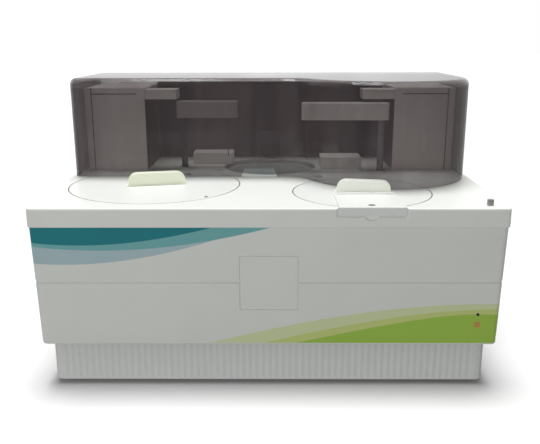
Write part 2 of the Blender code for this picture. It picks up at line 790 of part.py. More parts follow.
def make_front_panel():
    """Front panel that wraps both corners, with its groove, badge pocket and lamp holes."""
    back = FRONT + DEPTH
    panel = slab("front_panel", [panel_outline(0.0, back)], PANEL_LOW, PANEL_TOP,
                 grey_panel("front_grey"), rim=PANEL_RIM, rim_high=False)
    hollow = slab("front_hollow", [panel_outline(PANEL_WALL, back + OVERRUN)],
                  PANEL_LOW - OVERRUN, PANEL_TOP + OVERRUN)
    behind = box("front_behind", (-WIDTH, PANEL_FRONT + PANEL_RETURN, PANEL_LOW - OVERRUN),
                 (WIDTH, FRONT + DEPTH + OVERRUN, PANEL_TOP + OVERRUN))
    groove_low = PANEL_LOW + GROOVE_UP
    groove_high = groove_low + GROOVE_HEIGHT
    section = ((-OVERRUN, groove_low - GROOVE_DEPTH - OVERRUN), (GROOVE_DEPTH, groove_low),
               (GROOVE_DEPTH, groove_high), (-OVERRUN, groove_high))
    groove = ring("front_groove", [(panel_outline(inset, back - inset), height)
                                   for inset, height in section])
    for piece in (panel, hollow, groove):
        drafted(piece)
    pocket = slab("badge_pocket", [badge_outline(BADGE_GAP)], -PANEL_FRONT - BADGE_POCKET,
                  -PANEL_FRONT + OVERRUN, turn=FACING_FRONT)
    cut(panel, hollow, behind, groove, pocket, *lamp_shapes(None, SEAT))
    slab("badge_plate", [badge_outline(0.0)], -PANEL_FRONT - BADGE_POCKET + SEAT,
         -PANEL_FRONT - BADGE_POCKET + SEAT + BADGE_THICKNESS,
         surface("badge_grey", (0.68, 0.70, 0.67), 0.35), turn=FACING_FRONT)


def badge_outline(margin):
    """Square of the bare badge, or of its pocket with a margin."""
    low = PANEL_LOW + BADGE_UP - margin
    return rounded(BADGE_X - BADGE_WIDTH / 2 - margin, BADGE_X + BADGE_WIDTH / 2 + margin,
                   low, low + BADGE_HEIGHT + 2 * margin, BADGE_CORNER + margin)


def lamp_shapes(looks, margin):
    """Power and status lamps, or with no looks the holes that they sit in."""
    names = ("power_lamp", "status_lamp") if looks else ("power_hole", "status_hole")
    looks = looks or (None, None)
    front = PANEL_FRONT - (LAMP_PROUD if looks[0] else OVERRUN)
    back = PANEL_FRONT - LAMP_PROUD + LAMP_LENGTH + (0 if looks[0] else OVERRUN)
    power_z = PANEL_LOW + POWER_LAMP_UP
    status_z = PANEL_LOW + STATUS_LAMP_UP
    half = STATUS_LAMP_WIDTH / 2 + margin
    power = rod(names[0], POWER_LAMP_RADIUS + margin, (LAMP_X, front, power_z),
                (LAMP_X, back, power_z), looks[0])
    status = slab(names[1], [rounded(LAMP_X - half, LAMP_X + half, status_z - half,
                                     status_z + half, half / 2)],
                  -back, -front, looks[1], turn=FACING_FRONT)
    return power, status


def make_side_panel(name, side):
    """Sheet side panel with louvres; side is -1 for the left and 1 for the right."""
    inner = side * (PANEL_HALF - SHEET)
    outer = side * PANEL_HALF
    front = PANEL_FRONT + PANEL_RETURN + PANEL_SEAM
    panel = box(name, (min(inner, outer), front, PANEL_LOW),
                (max(inner, outer), REAR_FACE, PANEL_TOP), grey_panel(name + "_grey"))
    fold = sorted((side * (PANEL_HALF - SHEET / 2), side * (PANEL_HALF - PANEL_WALL)))
    fold_strip = box(name + "_fold", (fold[0], front + PANEL_SEAM, PANEL_LOW + SEAT),
                     (fold[1], REAR_FACE - 2 * SHEET, CHASSIS_TOP))
    join(drafted(panel), drafted(fold_strip))
    middle = (front + REAR_FACE) / 2
    cutters = []
    for index in range(LOUVRE_COUNT):
        low = CHASSIS_TOP + LOUVRE_PITCH * (index + 1)
        cutters.append(box(name + "_louvre",
                           (min(inner, outer) - OVERRUN, middle - LOUVRE_LENGTH / 2, low),
                           (max(inner, outer) + OVERRUN, middle + LOUVRE_LENGTH / 2,
                            low + LOUVRE_HEIGHT)))
    cut(panel, *cutters)


def inlet_outline(margin):
    """Body outline of the power inlet, or of its hole with a margin."""
    low = PANEL_LOW + INLET_UP - margin
    return rectangle(INLET_X - INLET_WIDTH / 2 - margin, INLET_X + INLET_WIDTH / 2 + margin,
                     low, low + INLET_HEIGHT + 2 * margin)


def make_rear_panel():
    """Sheet rear panel with its fan opening and inlet hole."""
    half = PANEL_HALF - SHEET - SEAT
    wide = half * widening(PANEL_TOP)
    outline = [(-half, PANEL_LOW), (half, PANEL_LOW), (wide, PANEL_TOP), (-wide, PANEL_TOP)]
    fan = circle(FAN_X, PANEL_LOW + FAN_UP, FAN_DUCT_RADIUS, TURN_STEPS)
    slab("rear_panel", [outline, fan, inlet_outline(SEAT)], -REAR_FACE, -REAR_FACE + SHEET,
         grey_panel("rear_grey"), turn=FACING_FRONT)


# Top cover

def probe_point(post, link, start_deg, swing_deg):
    """Place of a probe when its arm is swung from its start direction."""
    angle = math.radians(start_deg + swing_deg)
    return post[0] + link * math.cos(angle), post[1] + link * math.sin(angle)


REAGENT_POST = (REAGENT_POST_X, REAGENT_POST_Y)
SAMPLE_POST = (SAMPLE_POST_X, SAMPLE_POST_Y)


def swing_to_ring(post, link, start_deg, centre, ring, turn_sign):
    """Swing, in degrees, that brings a probe over a ring about a centre."""
    apart = math.dist(post, centre)
    facing = math.degrees(math.atan2(centre[1] - post[1], centre[0] - post[0]))
    opening = (apart ** 2 + link ** 2 - ring ** 2) / (2 * apart * link)
    offset = math.degrees(math.acos(max(-1.0, min(1.0, opening))))
    swing = (facing + turn_sign * offset - start_deg + 180) % 360 - 180
    return swing


def access_point(post, link, start_deg, centre, ring, turn_sign):
    """Place in a lid where the probe reaches the ring of bottles or tubes below."""
    swing = swing_to_ring(post, link, start_deg, centre, ring, turn_sign)
    return probe_point(post, link, start_deg, swing)


def reagent_access():
    """Probe hole over the reagent bottles."""
    return access_point(REAGENT_POST, REAGENT_LINK, 0.0, (REAGENT_X, REAGENT_Y),
                        REAGENT_RING_RADIUS, 1)


def sample_access():
    """Probe hole over the sample tubes."""
    return access_point(SAMPLE_POST, SAMPLE_LINK, 180.0, (SAMPLE_X, SAMPLE_Y),
                        SAMPLE_RING_RADIUS, -1)


def wells():
    """Places of the two wash wells, which lie on the swing of each probe."""
    return (probe_point(REAGENT_POST, REAGENT_LINK, 0.0, REAGENT_WELL_DEG),
            probe_point(SAMPLE_POST, SAMPLE_LINK, 180.0, SAMPLE_WELL_DEG))


def close_rings(form, front, back):
    """Two ends and the walls between them."""
    form.faces.new(front)
    form.faces.new(back)
    for index in range(len(front)):
        form.faces.new((front[index - 1], front[index], back[index], back[index - 1]))


def bevelled_recess(half, low, high):
    """Sloped edge round the foot and the ends of the recess that the flap's lip sits in."""
    form = bmesh.new()
    rings = []
    for y, grow in ((FRONT - OVERRUN, RECESS_BEVEL + OVERRUN), (FRONT + RECESS_BEVEL, 0.0)):
        left = FLAP_X - half - grow
        right = FLAP_X + half + grow
        rings.append([form.verts.new(point) for point in
                      ((left, y, low - grow), (right, y, low - grow), (right, y, high), (left, y, high))])
    close_rings(form, *rings)
    return object_from("recess_bevel", mesh_from("recess_bevel", form), None)


def make_top_cover():
    """Deck and skirt in one moulding, with lid seats, openings and the flap's recess."""
    outline = rounded(-HALF_WIDTH, HALF_WIDTH, FRONT, FRONT + DEPTH, COVER_CORNER,
                      CASE_CORNER_STEPS)
    cover = slab("top_cover", [outline], COVER_LOW, DECK, white_plastic("cover_white"),
                 rim=COVER_RIM, rim_low=False)
    inner = HALF_WIDTH - COVER_WALL
    hollow = slab("cover_hollow", [rounded(-inner, inner, FRONT + COVER_WALL,
                                           FRONT + DEPTH - COVER_WALL, COVER_CORNER - COVER_WALL)],
                  COVER_LOW - OVERRUN, DECK_UNDER)
    cutters = [hollow]
    seat_low = DECK - LID_THICKNESS - SEAT
    for name, x, y, radius in (("reagent", REAGENT_X, REAGENT_Y, REAGENT_LID_RADIUS),
                               ("sample", SAMPLE_X, SAMPLE_Y, SAMPLE_LID_RADIUS)):
        cutters.append(rod(name + "_seat", radius + LID_GAP, (x, y, seat_low),
                           (x, y, DECK + OVERRUN), steps=DISC_STEPS))
        cutters.append(rod(name + "_opening", radius - LID_LEDGE, (x, y, DECK_UNDER - OVERRUN),
                           (x, y, DECK), steps=DISC_STEPS))
    low = DECK_UNDER - OVERRUN
    high = DECK + OVERRUN
    cutters.append(rod("reaction_opening", REACTION_OPENING, (0, REACTION_Y, low),
                       (0, REACTION_Y, high), steps=DISC_STEPS))
    for x, y in (REAGENT_POST, SAMPLE_POST):
        cutters.append(rod("post_bore", POST_RADIUS + POST_BORE_GAP, (x, y, low), (x, y, high),
                           steps=TURN_STEPS))
    for x, y in wells():
        cutters.append(rod("well_bore", WELL_RADIUS + SEAT, (x, y, low), (x, y, high)))
    screw_y = FRONT + THUMBSCREW_BACK
    cutters.append(rod("screw_bore", THUMBSCREW_STEM + SEAT, (THUMBSCREW_X, screw_y, low),
                       (THUMBSCREW_X, screw_y, high)))
    half = FLAP_WIDTH / 2 + FLAP_GAP
    lip_low = DECK - FLAP_LIP - FLAP_GAP
    cutters.append(box("lip_recess", (FLAP_X - half, FRONT - OVERRUN, lip_low),
                       (FLAP_X + half, FRONT + LIP_RECESS, high)))
    cutters.append(bevelled_recess(half, lip_low, high))
    notch_z = lip_low + NOTCH_RADIUS - NOTCH_DROP
    cutters.append(rod("finger_notch", NOTCH_RADIUS, (FLAP_X, FRONT - OVERRUN, notch_z),
                       (FLAP_X, FRONT + LIP_RECESS, notch_z), steps=TURN_STEPS))
    cutters.append(rod("notch_bevel", NOTCH_RADIUS + RECESS_BEVEL + OVERRUN,
                       (FLAP_X, FRONT - OVERRUN, notch_z), (FLAP_X, FRONT + RECESS_BEVEL, notch_z),
                       steps=TURN_STEPS, end_radius=NOTCH_RADIUS))
    cut(cover, *cutters)
    smooth(cover)


def make_thumbscrew():
    """Knurled screw that holds the cover at its front right corner."""
    outline = []
    for index in range(2 * KNURL_COUNT):
        radius = THUMBSCREW_RADIUS * (KNURL_SHARE if index % 2 else 1)
        angle = math.pi * index / KNURL_COUNT
        outline.append((radius * math.cos(angle), radius * math.sin(angle)))
    place = (THUMBSCREW_X, FRONT + THUMBSCREW_BACK, DECK)
    knob = slab("cover_thumbscrew", [outline], SEAT, THUMBSCREW_HEIGHT, steel("thumbscrew_steel"))
    stem = rod("thumbscrew_stem", THUMBSCREW_STEM, (0, 0, -THUMBSCREW_STEM_LENGTH),
               (0, 0, 2 * SEAT))
    join(knob, stem)
    stem.location = place
    knob.location = place


# Hood

def hood_outline():
    """Hood seen from above: straight on the left, bulging forward on the right."""
    wall_y = FRONT + HOOD_FRONT_BACK
    rear_y = FRONT + HOOD_REAR_BACK
    bulge_y = FRONT + BULGE_FRONT_BACK + BULGE_RADIUS
    fillet_y = wall_y - BULGE_FILLET
    rise = bulge_y - fillet_y
    span = math.sqrt((BULGE_RADIUS + BULGE_FILLET) ** 2 - rise ** 2)
    fillet_x = BULGE_X - span
    meet = math.degrees(math.atan2(rise, span))
    corner = HOOD_CORNER
    left = -HOOD_LEFT
    right = HOOD_RIGHT
    points = arc(left + corner, wall_y + corner, corner, 180, 270, CORNER_STEPS)
    points += arc(fillet_x, fillet_y, BULGE_FILLET, 90, meet, FILLET_STEPS)
    points += arc(BULGE_X, bulge_y, BULGE_RADIUS, 180 + meet, 360, BULGE_STEPS)[1:]
    points += arc(right - corner, rear_y - corner, corner, 0, 90, CORNER_STEPS)
    points += arc(left + corner, rear_y - corner, corner, 90, 180, CORNER_STEPS)
    return points


def hood_notch():
    """Finger notch with sloped ends at the foot of the hood's straight front."""
    form = bmesh.new()
    wall_y = FRONT + HOOD_FRONT_BACK
    low = HOOD_LOW - OVERRUN
    half = HOOD_NOTCH_WIDTH / 2
    rings = []
    for y in (wall_y - HOOD_NOTCH_REACH, wall_y + HOOD_WALL + OVERRUN):
        rings.append([form.verts.new((HOOD_NOTCH_X + across, y, z)) for across, z in
                      ((-half, low), (half, low),
                       (half - HOOD_NOTCH_SLOPE, HOOD_LOW + HOOD_NOTCH_HEIGHT),
                       (HOOD_NOTCH_SLOPE - half, HOOD_LOW + HOOD_NOTCH_HEIGHT))])
    close_rings(form, *rings)
    return object_from("hood_notch", mesh_from("hood_notch", form), None)


def make_hood():
    """Smoked hood: an open shell with a round top rim and two hinge lugs at its rear."""
    form = extruded([hood_outline()], HOOD_LOW - 2 * HOOD_RIM, HOOD_TOP, HOOD_RIM,
                    HOOD_RIM_STEPS, True, True)
    trim(form, HOOD_LOW, -1, False)
    smoke = surface("hood_smoke", (0.20, 0.17, 0.17), 0.06, transmission=0.85)
    hood = object_from("hood", mesh_from("hood", form), smoke)
    shell = hood.modifiers.new("wall", "SOLIDIFY")
    shell.thickness = HOOD_WALL
    shell.offset = -1
    shell.use_even_offset = True
    rear = FRONT + HOOD_REAR_BACK
    for x in (-HINGE_X, HINGE_X):
        ends = (x - HINGE_LUG_WIDTH / 2, x + HINGE_LUG_WIDTH / 2)
        barrel = rod("hood_lug", HINGE_LUG_RADIUS, (ends[0], HINGE_Y, HINGE_Z),
                     (ends[1], HINGE_Y, HINGE_Z), steps=PIN_STEPS)
        web = box("hood_web", (ends[0], rear - HOOD_WALL / 2, HINGE_Z - HINGE_LUG_RADIUS),
                  (ends[1], HINGE_Y, HINGE_Z + HINGE_LUG_RADIUS))
        bore = rod("hood_bore", HINGE_PIN_RADIUS + SEAT, (ends[0] - OVERRUN, HINGE_Y, HINGE_Z),
                   (ends[1] + OVERRUN, HINGE_Y, HINGE_Z))
        join(hood, web, barrel)
        cut(hood, bore)
    cut(hood, hood_notch())
    set_origin(hood, (0, HINGE_Y, HINGE_Z))
    smooth(hood)


def make_hood_hinge(name, x):
    """Bracket behind the hood with two cheeks and the pin between them."""
    inner = HINGE_LUG_WIDTH / 2 + HINGE_SIDE_GAP
    outer = inner + HINGE_CHEEK
    radius = HINGE_LUG_RADIUS
    low = DECK + SEAT
    foot = box(name, (x - outer, HINGE_Y - radius, low),
               (x + outer, HINGE_Y + radius, low + HINGE_FOOT), dark_plastic(name + "_dark"))
    shapes = []
    for side in (-1, 1):
        ends = sorted((x + side * inner, x + side * outer))
        shapes.append(box("hinge_cheek", (ends[0], HINGE_Y - radius, low + HINGE_FOOT / 2),
                          (ends[1], HINGE_Y + radius, HINGE_Z)))
        shapes.append(rod("hinge_round", radius, (ends[0], HINGE_Y, HINGE_Z),
                          (ends[1], HINGE_Y, HINGE_Z)))
    shapes.append(rod("hinge_pin", HINGE_PIN_RADIUS, (x - outer + HINGE_CHEEK / 2, HINGE_Y, HINGE_Z),
                      (x + outer - HINGE_CHEEK / 2, HINGE_Y, HINGE_Z)))
    join(foot, *shapes)


# Lids and the loading flap

def make_lid(name, x, y, radius, access):
    """Round lid, flush with the deck, with the hole that its probe passes."""
    lid = slab(name, [circle(x, y, radius), circle(*access, PROBE_HOLE_RADIUS, HOLE_STEPS)],
               DECK - LID_THICKNESS, DECK, white_plastic(name + "_white"))
    return lid


def make_handle(name, x, y, length, top, height, turn_deg):
    """Trapezoid grip with round top corners on a thin foot."""
    half = length / 2
    slope = math.degrees(math.atan2(height, half - top / 2))
    corner = HANDLE_CORNER
    reach = corner * math.tan(math.radians(slope / 2))
    outline = [(-half, 0), (half, 0)]
    outline += arc(top / 2 - reach, height - corner, corner, 90 - slope, 90, CASE_CORNER_STEPS)
    outline += arc(-top / 2 + reach, height - corner, corner, 90, 90 + slope, CASE_CORNER_STEPS)
    low = DECK + SEAT
    grip = slab(name, [outline], -HANDLE_THICKNESS / 2, HANDLE_THICKNESS / 2,
                surface(name + "_cream", (0.80, 0.83, 0.72), 0.35), rim=HANDLE_RIM,
                turn=FACING_FRONT)
    side = half + HANDLE_FOOT_MARGIN
    deep = HANDLE_THICKNESS / 2 + HANDLE_FOOT_MARGIN
    foot = slab(name + "_foot", [rounded(-side, side, -deep, deep, HANDLE_FOOT_MARGIN)],
                0.0, HANDLE_FOOT)
    join(grip, foot)
    for piece in (grip, foot):
        piece.location = (x, y, low)
        piece.rotation_euler = (0, 0, math.radians(turn_deg))
    smooth(grip)


def make_flap():
    """Loading flap with its front lip, rear barrel and lock, and the pin it turns on."""
    left = FLAP_X - FLAP_WIDTH / 2
    right = FLAP_X + FLAP_WIDTH / 2
    top = FLAP_UNDER + FLAP_THICKNESS
    lip_back = FRONT + LIP_RECESS - SEAT
    lip_front = lip_back - FLAP_THICKNESS
    lip_low = DECK - FLAP_LIP
    round_out = arc(lip_front + FLAP_THICKNESS, top - FLAP_THICKNESS, FLAP_THICKNESS, 180, 90,
                    CORNER_STEPS)
    profile = [(FLAP_AXIS_Y, top), (FLAP_AXIS_Y, FLAP_UNDER), (lip_back, FLAP_UNDER),
               (lip_back, lip_low), (lip_front, lip_low)] + round_out
    flap = slab("sample_flap", [profile], left, right, white_plastic("flap_white"), turn=ALONG_X)
    axis = (FLAP_AXIS_Y, FLAP_AXIS_Z)
    middle = FLAP_BARREL_LENGTH / 2
    barrel = rod("flap_barrel", FLAP_BARREL_RADIUS, (FLAP_X - middle, *axis),
                 (FLAP_X + middle, *axis))
    clear = FLAP_BARREL_RADIUS + 2 * SEAT
    bore = rod("flap_bore", FLAP_PIN_RADIUS + SEAT, (left - OVERRUN, *axis),
               (right + OVERRUN, *axis))
    lock_y = FRONT + FLAP_LOCK_BACK
    lock = rod("flap_lock_seat", FLAP_LOCK_RADIUS, (FLAP_X, lock_y, top - FLAP_LOCK_DEPTH),
               (FLAP_X, lock_y, top + OVERRUN), steps=TURN_STEPS)
    corners = []
    for ends in ((left - OVERRUN, FLAP_X - middle), (FLAP_X + middle, right + OVERRUN)):
        corners.append(box("flap_corner", (ends[0], FLAP_AXIS_Y - clear, FLAP_UNDER - OVERRUN),
                           (ends[1], FLAP_AXIS_Y + clear, top + OVERRUN)))
    cut(flap, *corners)
    join(flap, barrel)
    cut(flap, bore, lock)
    set_origin(flap, (FLAP_X, *axis))
    pin_half = FLAP_BARREL_LENGTH / 2 + FLAP_EAR_LENGTH
    rod("flap_hinge_pin", FLAP_PIN_RADIUS, (FLAP_X - pin_half, *axis), (FLAP_X + pin_half, *axis),
        steel("flap_pin_steel"))


def add_flap_ears(lid):
    """Window under the flap, and the two ears on the lid that hold its pin."""
    half = FLAP_WINDOW_WIDTH / 2
    low = FRONT + FLAP_WINDOW_BACK
    window = slab("flap_window", [rounded(FLAP_X - half, FLAP_X + half, low,
                                          low + FLAP_WINDOW_DEPTH, BADGE_CORNER)],
                  DECK - LID_THICKNESS - OVERRUN, DECK + OVERRUN)
    axis = (FLAP_AXIS_Y, FLAP_AXIS_Z)
    bore = rod("ear_bore", FLAP_PIN_RADIUS + SEAT, (FLAP_X - FLAP_WIDTH, *axis),
               (FLAP_X + FLAP_WIDTH, *axis))
    start = FLAP_BARREL_LENGTH / 2 + SEAT
    ears = []
    for side in (-1, 1):
        ends = sorted((FLAP_X + side * start, FLAP_X + side * (start + FLAP_EAR_LENGTH)))
        ears.append(rod("flap_ear", FLAP_BARREL_RADIUS, (ends[0], *axis), (ends[1], *axis)))
        ears.append(box("flap_ear_foot",
                        (ends[0], FLAP_AXIS_Y - FLAP_BARREL_RADIUS, DECK - LID_THICKNESS / 2),
                        (ends[1], FLAP_AXIS_Y + FLAP_BARREL_RADIUS, FLAP_AXIS_Z)))
    cut(lid, window)
    join(lid, *ears)
    cut(lid, bore)


# Carousels

def make_tub(name, x, y, radius, depth, look):
    """Round tub that hangs close under the deck, open at the top, bored for the spindle."""
    high = DECK_UNDER - SEAT
    low = high - depth
    bore = SPINDLE_RADIUS + SPINDLE_GAP
    profile = [(radius, 0), (radius, -depth), (bore, -depth), (bore, TUB_FLOOR - depth),
               (radius - TUB_WALL, TUB_FLOOR - depth), (radius - TUB_WALL, 0)]
    smooth(turned(name, profile, (x, y, high), look, TUB_STEPS))
    return low


def make_drive(name, x, y, tub_low):
    """Drive column under a tub: foot flange, motor column and head, bored for the spindle."""
    bore = SPINDLE_RADIUS + SPINDLE_GAP
    low = CHASSIS_TOP + SEAT
    high = tub_low - SEAT
    head = high - low
    profile = [(DRIVE_FOOT_RADIUS, head), (DRIVE_FOOT_RADIUS, head - DRIVE_FLANGE),
               (DRIVE_COLUMN_RADIUS, head - DRIVE_FLANGE), (DRIVE_COLUMN_RADIUS, DRIVE_FLANGE),
               (DRIVE_FOOT_RADIUS, DRIVE_FLANGE), (DRIVE_FOOT_RADIUS, 0), (bore, 0), (bore, head)]
    smooth(turned(name, profile, (x, y, low), dark_plastic(name + "_dark")))


def ring_of(x, y, ring, count, radius):
    """Circles spaced evenly round a ring."""
    holes = []
    for index in range(count):
        angle = 2 * math.pi * index / count
        holes.append(circle(x + ring * math.cos(angle), y + ring * math.sin(angle), radius,
                            HOLE_STEPS))
    return holes


def make_rack(name, x, y, radius, tub_low, height, holes, look):
    """Carousel with a holed top plate, a floor plate, a hub and a spindle down its drive."""
    low = tub_low + TUB_FLOOR + ROTOR_LIFT
    top = low + height
    rack = slab(name, [circle(x, y, radius, TUB_STEPS)] + holes, top - ROTOR_PLATE, top, look)
    floor = rod(name + "_floor", radius, (x, y, low), (x, y, low + ROTOR_PLATE), steps=TUB_STEPS)
    hub = rod(name + "_hub", ROTOR_HUB_RADIUS, (x, y, low + ROTOR_PLATE / 2),
              (x, y, top + ROTOR_PLATE), steps=TURN_STEPS)
    spindle = rod(name + "_spindle", SPINDLE_RADIUS, (x, y, tub_low - SPINDLE_REACH),
                  (x, y, low + ROTOR_PLATE), steps=PIN_STEPS)
    join(rack, hub, floor, spindle)
    set_origin(rack, (x, y, top))
    smooth(rack)


def make_reaction():
    """Reaction ring with open cuvettes, its bath and its drive."""
    x, y = 0.0, REACTION_Y
    radius = REACTION_OPENING + TUB_WALL
    tub_low = make_tub("reaction_bath", x, y, radius, REACTION_TUB_DEPTH,
                       dark_plastic("bath_dark"))
    make_drive("reaction_drive", x, y, tub_low)
    top = DECK - CUVETTE_DROP
    low = top - CUVETTE_DEPTH - CUVETTE_WALL
    outer = REACTION_OUTER
    inner = REACTION_RING_RADIUS - CUVETTE_LENGTH / 2 - CUVETTE_WALL
    spindle_low = tub_low - SPINDLE_REACH
    plate = low + ROTOR_PLATE
    profile = [(0.0, plate - top), (inner, plate - top), (inner, 0), (outer, 0),
               (outer, low - top), (SPINDLE_RADIUS, low - top),
               (SPINDLE_RADIUS, spindle_low - top), (0.0, spindle_low - top)]
    form = bmesh.new()
    for index in range(CUVETTE_COUNT):
        angle = 2 * math.pi * index / CUVETTE_COUNT
        turn = Matrix.Rotation(angle, 4, "Z")
        middle = Vector((REACTION_RING_RADIUS, 0, (OVERRUN - CUVETTE_DEPTH) / 2))
        size = Vector((CUVETTE_LENGTH, CUVETTE_WIDTH, CUVETTE_DEPTH + OVERRUN))
        scale = Matrix.Diagonal((*size, 1.0))
        bmesh.ops.create_cube(form, size=1.0, matrix=turn @ Matrix.Translation(middle) @ scale)
    pockets = object_from("cuvette_pockets", mesh_from("cuvette_pockets", form), None)
    pockets.location = (x, y, top)
    ring = turned("reaction_carousel", profile, (x, y, top),
                  surface("cuvette_clear", (0.72, 0.75, 0.74), 0.15), CUVETTE_COUNT)
    cut(ring, pockets)
    smooth(ring)


def make_carousels():
    """Reagent and sample carousels and the reaction ring."""
    radius = REAGENT_LID_RADIUS - LID_LEDGE + TUB_WALL
    tub_low = make_tub("reagent_tub", REAGENT_X, REAGENT_Y, radius, REAGENT_TUB_DEPTH,
                       surface("reagent_tub_white", (0.75, 0.77, 0.76), 0.4))
    make_drive("reagent_drive", REAGENT_X, REAGENT_Y, tub_low)
    holes = ring_of(REAGENT_X, REAGENT_Y, REAGENT_RING_RADIUS, REAGENT_BOTTLE_COUNT,
                    REAGENT_BOTTLE_RADIUS)
    make_rack("reagent_carousel", REAGENT_X, REAGENT_Y, radius - TUB_WALL - ROTOR_GAP, tub_low,
              REAGENT_RACK_HEIGHT, holes, surface("reagent_rack_blue", (0.20, 0.33, 0.42), 0.4))
    radius = SAMPLE_LID_RADIUS - LID_LEDGE + TUB_WALL
    tub_low = make_tub("sample_tub", SAMPLE_X, SAMPLE_Y, radius, SAMPLE_TUB_DEPTH,
                       surface("sample_tub_white", (0.75, 0.77, 0.76), 0.4))
    make_drive("sample_drive", SAMPLE_X, SAMPLE_Y, tub_low)
    holes = ring_of(SAMPLE_X, SAMPLE_Y, SAMPLE_RING_RADIUS, SAMPLE_TUBE_COUNT,
                    SAMPLE_TUBE_RADIUS)
    make_rack("sample_carousel", SAMPLE_X, SAMPLE_Y, radius - TUB_WALL - ROTOR_GAP, tub_low,
              SAMPLE_RACK_HEIGHT, holes, surface("sample_rack_grey", (0.55, 0.57, 0.58), 0.4))
    make_reaction()


# Pipetting arms

def arm_outline(reach, inset):
    """Arm seen from above along +X: a long box with round corners, narrower at the probe."""
    post_end = ARM_POST_END - inset
    probe_end = ARM_PROBE_END - inset
    corner = ARM_CORNER - inset
    points = arc(-post_end + corner, post_end - corner, corner, 90, 180, CORNER_STEPS)
    points += arc(-post_end + corner, corner - post_end, corner, 180, 270, CORNER_STEPS)
    points += arc(reach + probe_end - corner, corner - probe_end, corner, -90, 0, CORNER_STEPS)
    points += arc(reach + probe_end - corner, probe_end - corner, corner, 0, 90, CORNER_STEPS)
    return points


def make_arm(prefix, post, link, nose, start_deg):
    """One pipetting arm: drive case, carriage, post, arm cover and probe."""
    x, y = post
    place = (x, y, DECK + ARM_UP)
    heading = math.radians(start_deg)
    outline = arm_outline(link + nose, 0.0)
    cream = surface(prefix + "_arm_cream", (0.80, 0.76, 0.74), 0.4)
    arm = slab(prefix + "_arm", [outline], 0, ARM_HEIGHT, cream, rim=ARM_RIM, rim_low=False)
    half = ARM_POST_END
    web = rectangle(-half, POST_RADIUS + POST_BOSS, -half, half)
    tip_boss = circle(link, 0, PROBE_HOLDER_RADIUS + PROBE_BOSS, PIN_STEPS)
    hollow_outline = arm_outline(link + nose, ARM_WALL)
    hollow = slab(prefix + "_arm_hollow", [hollow_outline, tip_boss], -OVERRUN,
                  ARM_HEIGHT - ARM_ROOF)
    grip = rod(prefix + "_arm_grip", POST_RADIUS + POST_GAP, (0, 0, -OVERRUN), (0, 0, POST_GRIP))
    tip = rod(prefix + "_arm_tip", PROBE_HOLDER_RADIUS + SEAT, (link, 0, -OVERRUN),
              (link, 0, POST_GRIP))
    block = slab(prefix + "_arm_block", [web], 0, ARM_HEIGHT - ARM_RIM)
    cut(hollow, block)
    cut(arm, hollow, grip, tip)
    for piece in (arm, hollow, block, grip, tip):
        piece.location = place
        piece.rotation_euler = (0, 0, heading)
    smooth(arm)
    tip_x, tip_y = probe_point(post, link, start_deg, 0.0)
    reach = ARM_UP - PROBE_TIP_UP
    needle_high = -PROBE_HOLDER_DROP - PROBE_HOLDER_RADIUS
    profile = [(0.0, POST_GRIP - SEAT), (PROBE_HOLDER_RADIUS, POST_GRIP - SEAT),
               (PROBE_HOLDER_RADIUS, -PROBE_HOLDER_DROP), (PROBE_RADIUS, needle_high),
               (PROBE_RADIUS, -reach), (0.0, -reach)]
    smooth(turned(prefix + "_probe", profile, (tip_x, tip_y, DECK + ARM_UP),
                  steel(prefix + "_probe_steel"), PIN_STEPS))
    carriage_high = DECK - CARRIAGE_UP
    carriage_low = carriage_high - CARRIAGE_HEIGHT
    post_low = carriage_low + SEAT
    rod(prefix + "_arm_post", POST_RADIUS, (x, y, post_low),
        (x, y, DECK + ARM_UP + POST_GRIP - SEAT), steel(prefix + "_post_steel"), TURN_STEPS)
    half = CARRIAGE_WIDTH / 2
    deep = CARRIAGE_DEPTH / 2
    grey = surface(prefix + "_carriage_grey", (0.35, 0.36, 0.37), 0.4, metallic=0.8)
    carriage = box(prefix + "_carriage", (x - half, y - deep, carriage_low),
                   (x + half, y + deep, carriage_high), grey)
    cut(carriage, rod(prefix + "_carriage_bore", POST_RADIUS + POST_GAP,
                      (x, y, carriage_low - OVERRUN), (x, y, carriage_high + OVERRUN),
                      steps=TURN_STEPS))
    outer = half + SEAT + DRIVE_CASE_WALL
    back = y + deep + SEAT
    outline = [(x - outer, y - deep), (x - half - SEAT, y - deep), (x - half - SEAT, back),
               (x + half + SEAT, back), (x + half + SEAT, y - deep), (x + outer, y - deep),
               (x + outer, back + DRIVE_CASE_BACK), (x - outer, back + DRIVE_CASE_BACK)]
    slab(prefix + "_arm_drive", [outline], CHASSIS_TOP + SEAT, DECK_UNDER - SEAT,
         surface(prefix + "_drive_grey", (0.45, 0.46, 0.47), 0.35, metallic=0.6))


def make_wells():
    """Wash wells let into the deck on each probe's swing."""
    for name, (x, y) in zip(("reagent_wash_well", "sample_wash_well"), wells()):
        floor = -WELL_DEPTH
        profile = [(0.0, floor), (WELL_BORE, floor), (WELL_BORE, WELL_FLANGE_HEIGHT),
                   (WELL_FLANGE, WELL_FLANGE_HEIGHT), (WELL_FLANGE, SEAT), (WELL_RADIUS, SEAT),
                   (WELL_RADIUS, floor - TUB_WALL), (0.0, floor - TUB_WALL)]
        smooth(turned(name, profile, (x, y, DECK), white_plastic(name + "_white"), PIN_STEPS))


# Fittings on the deck under the hood

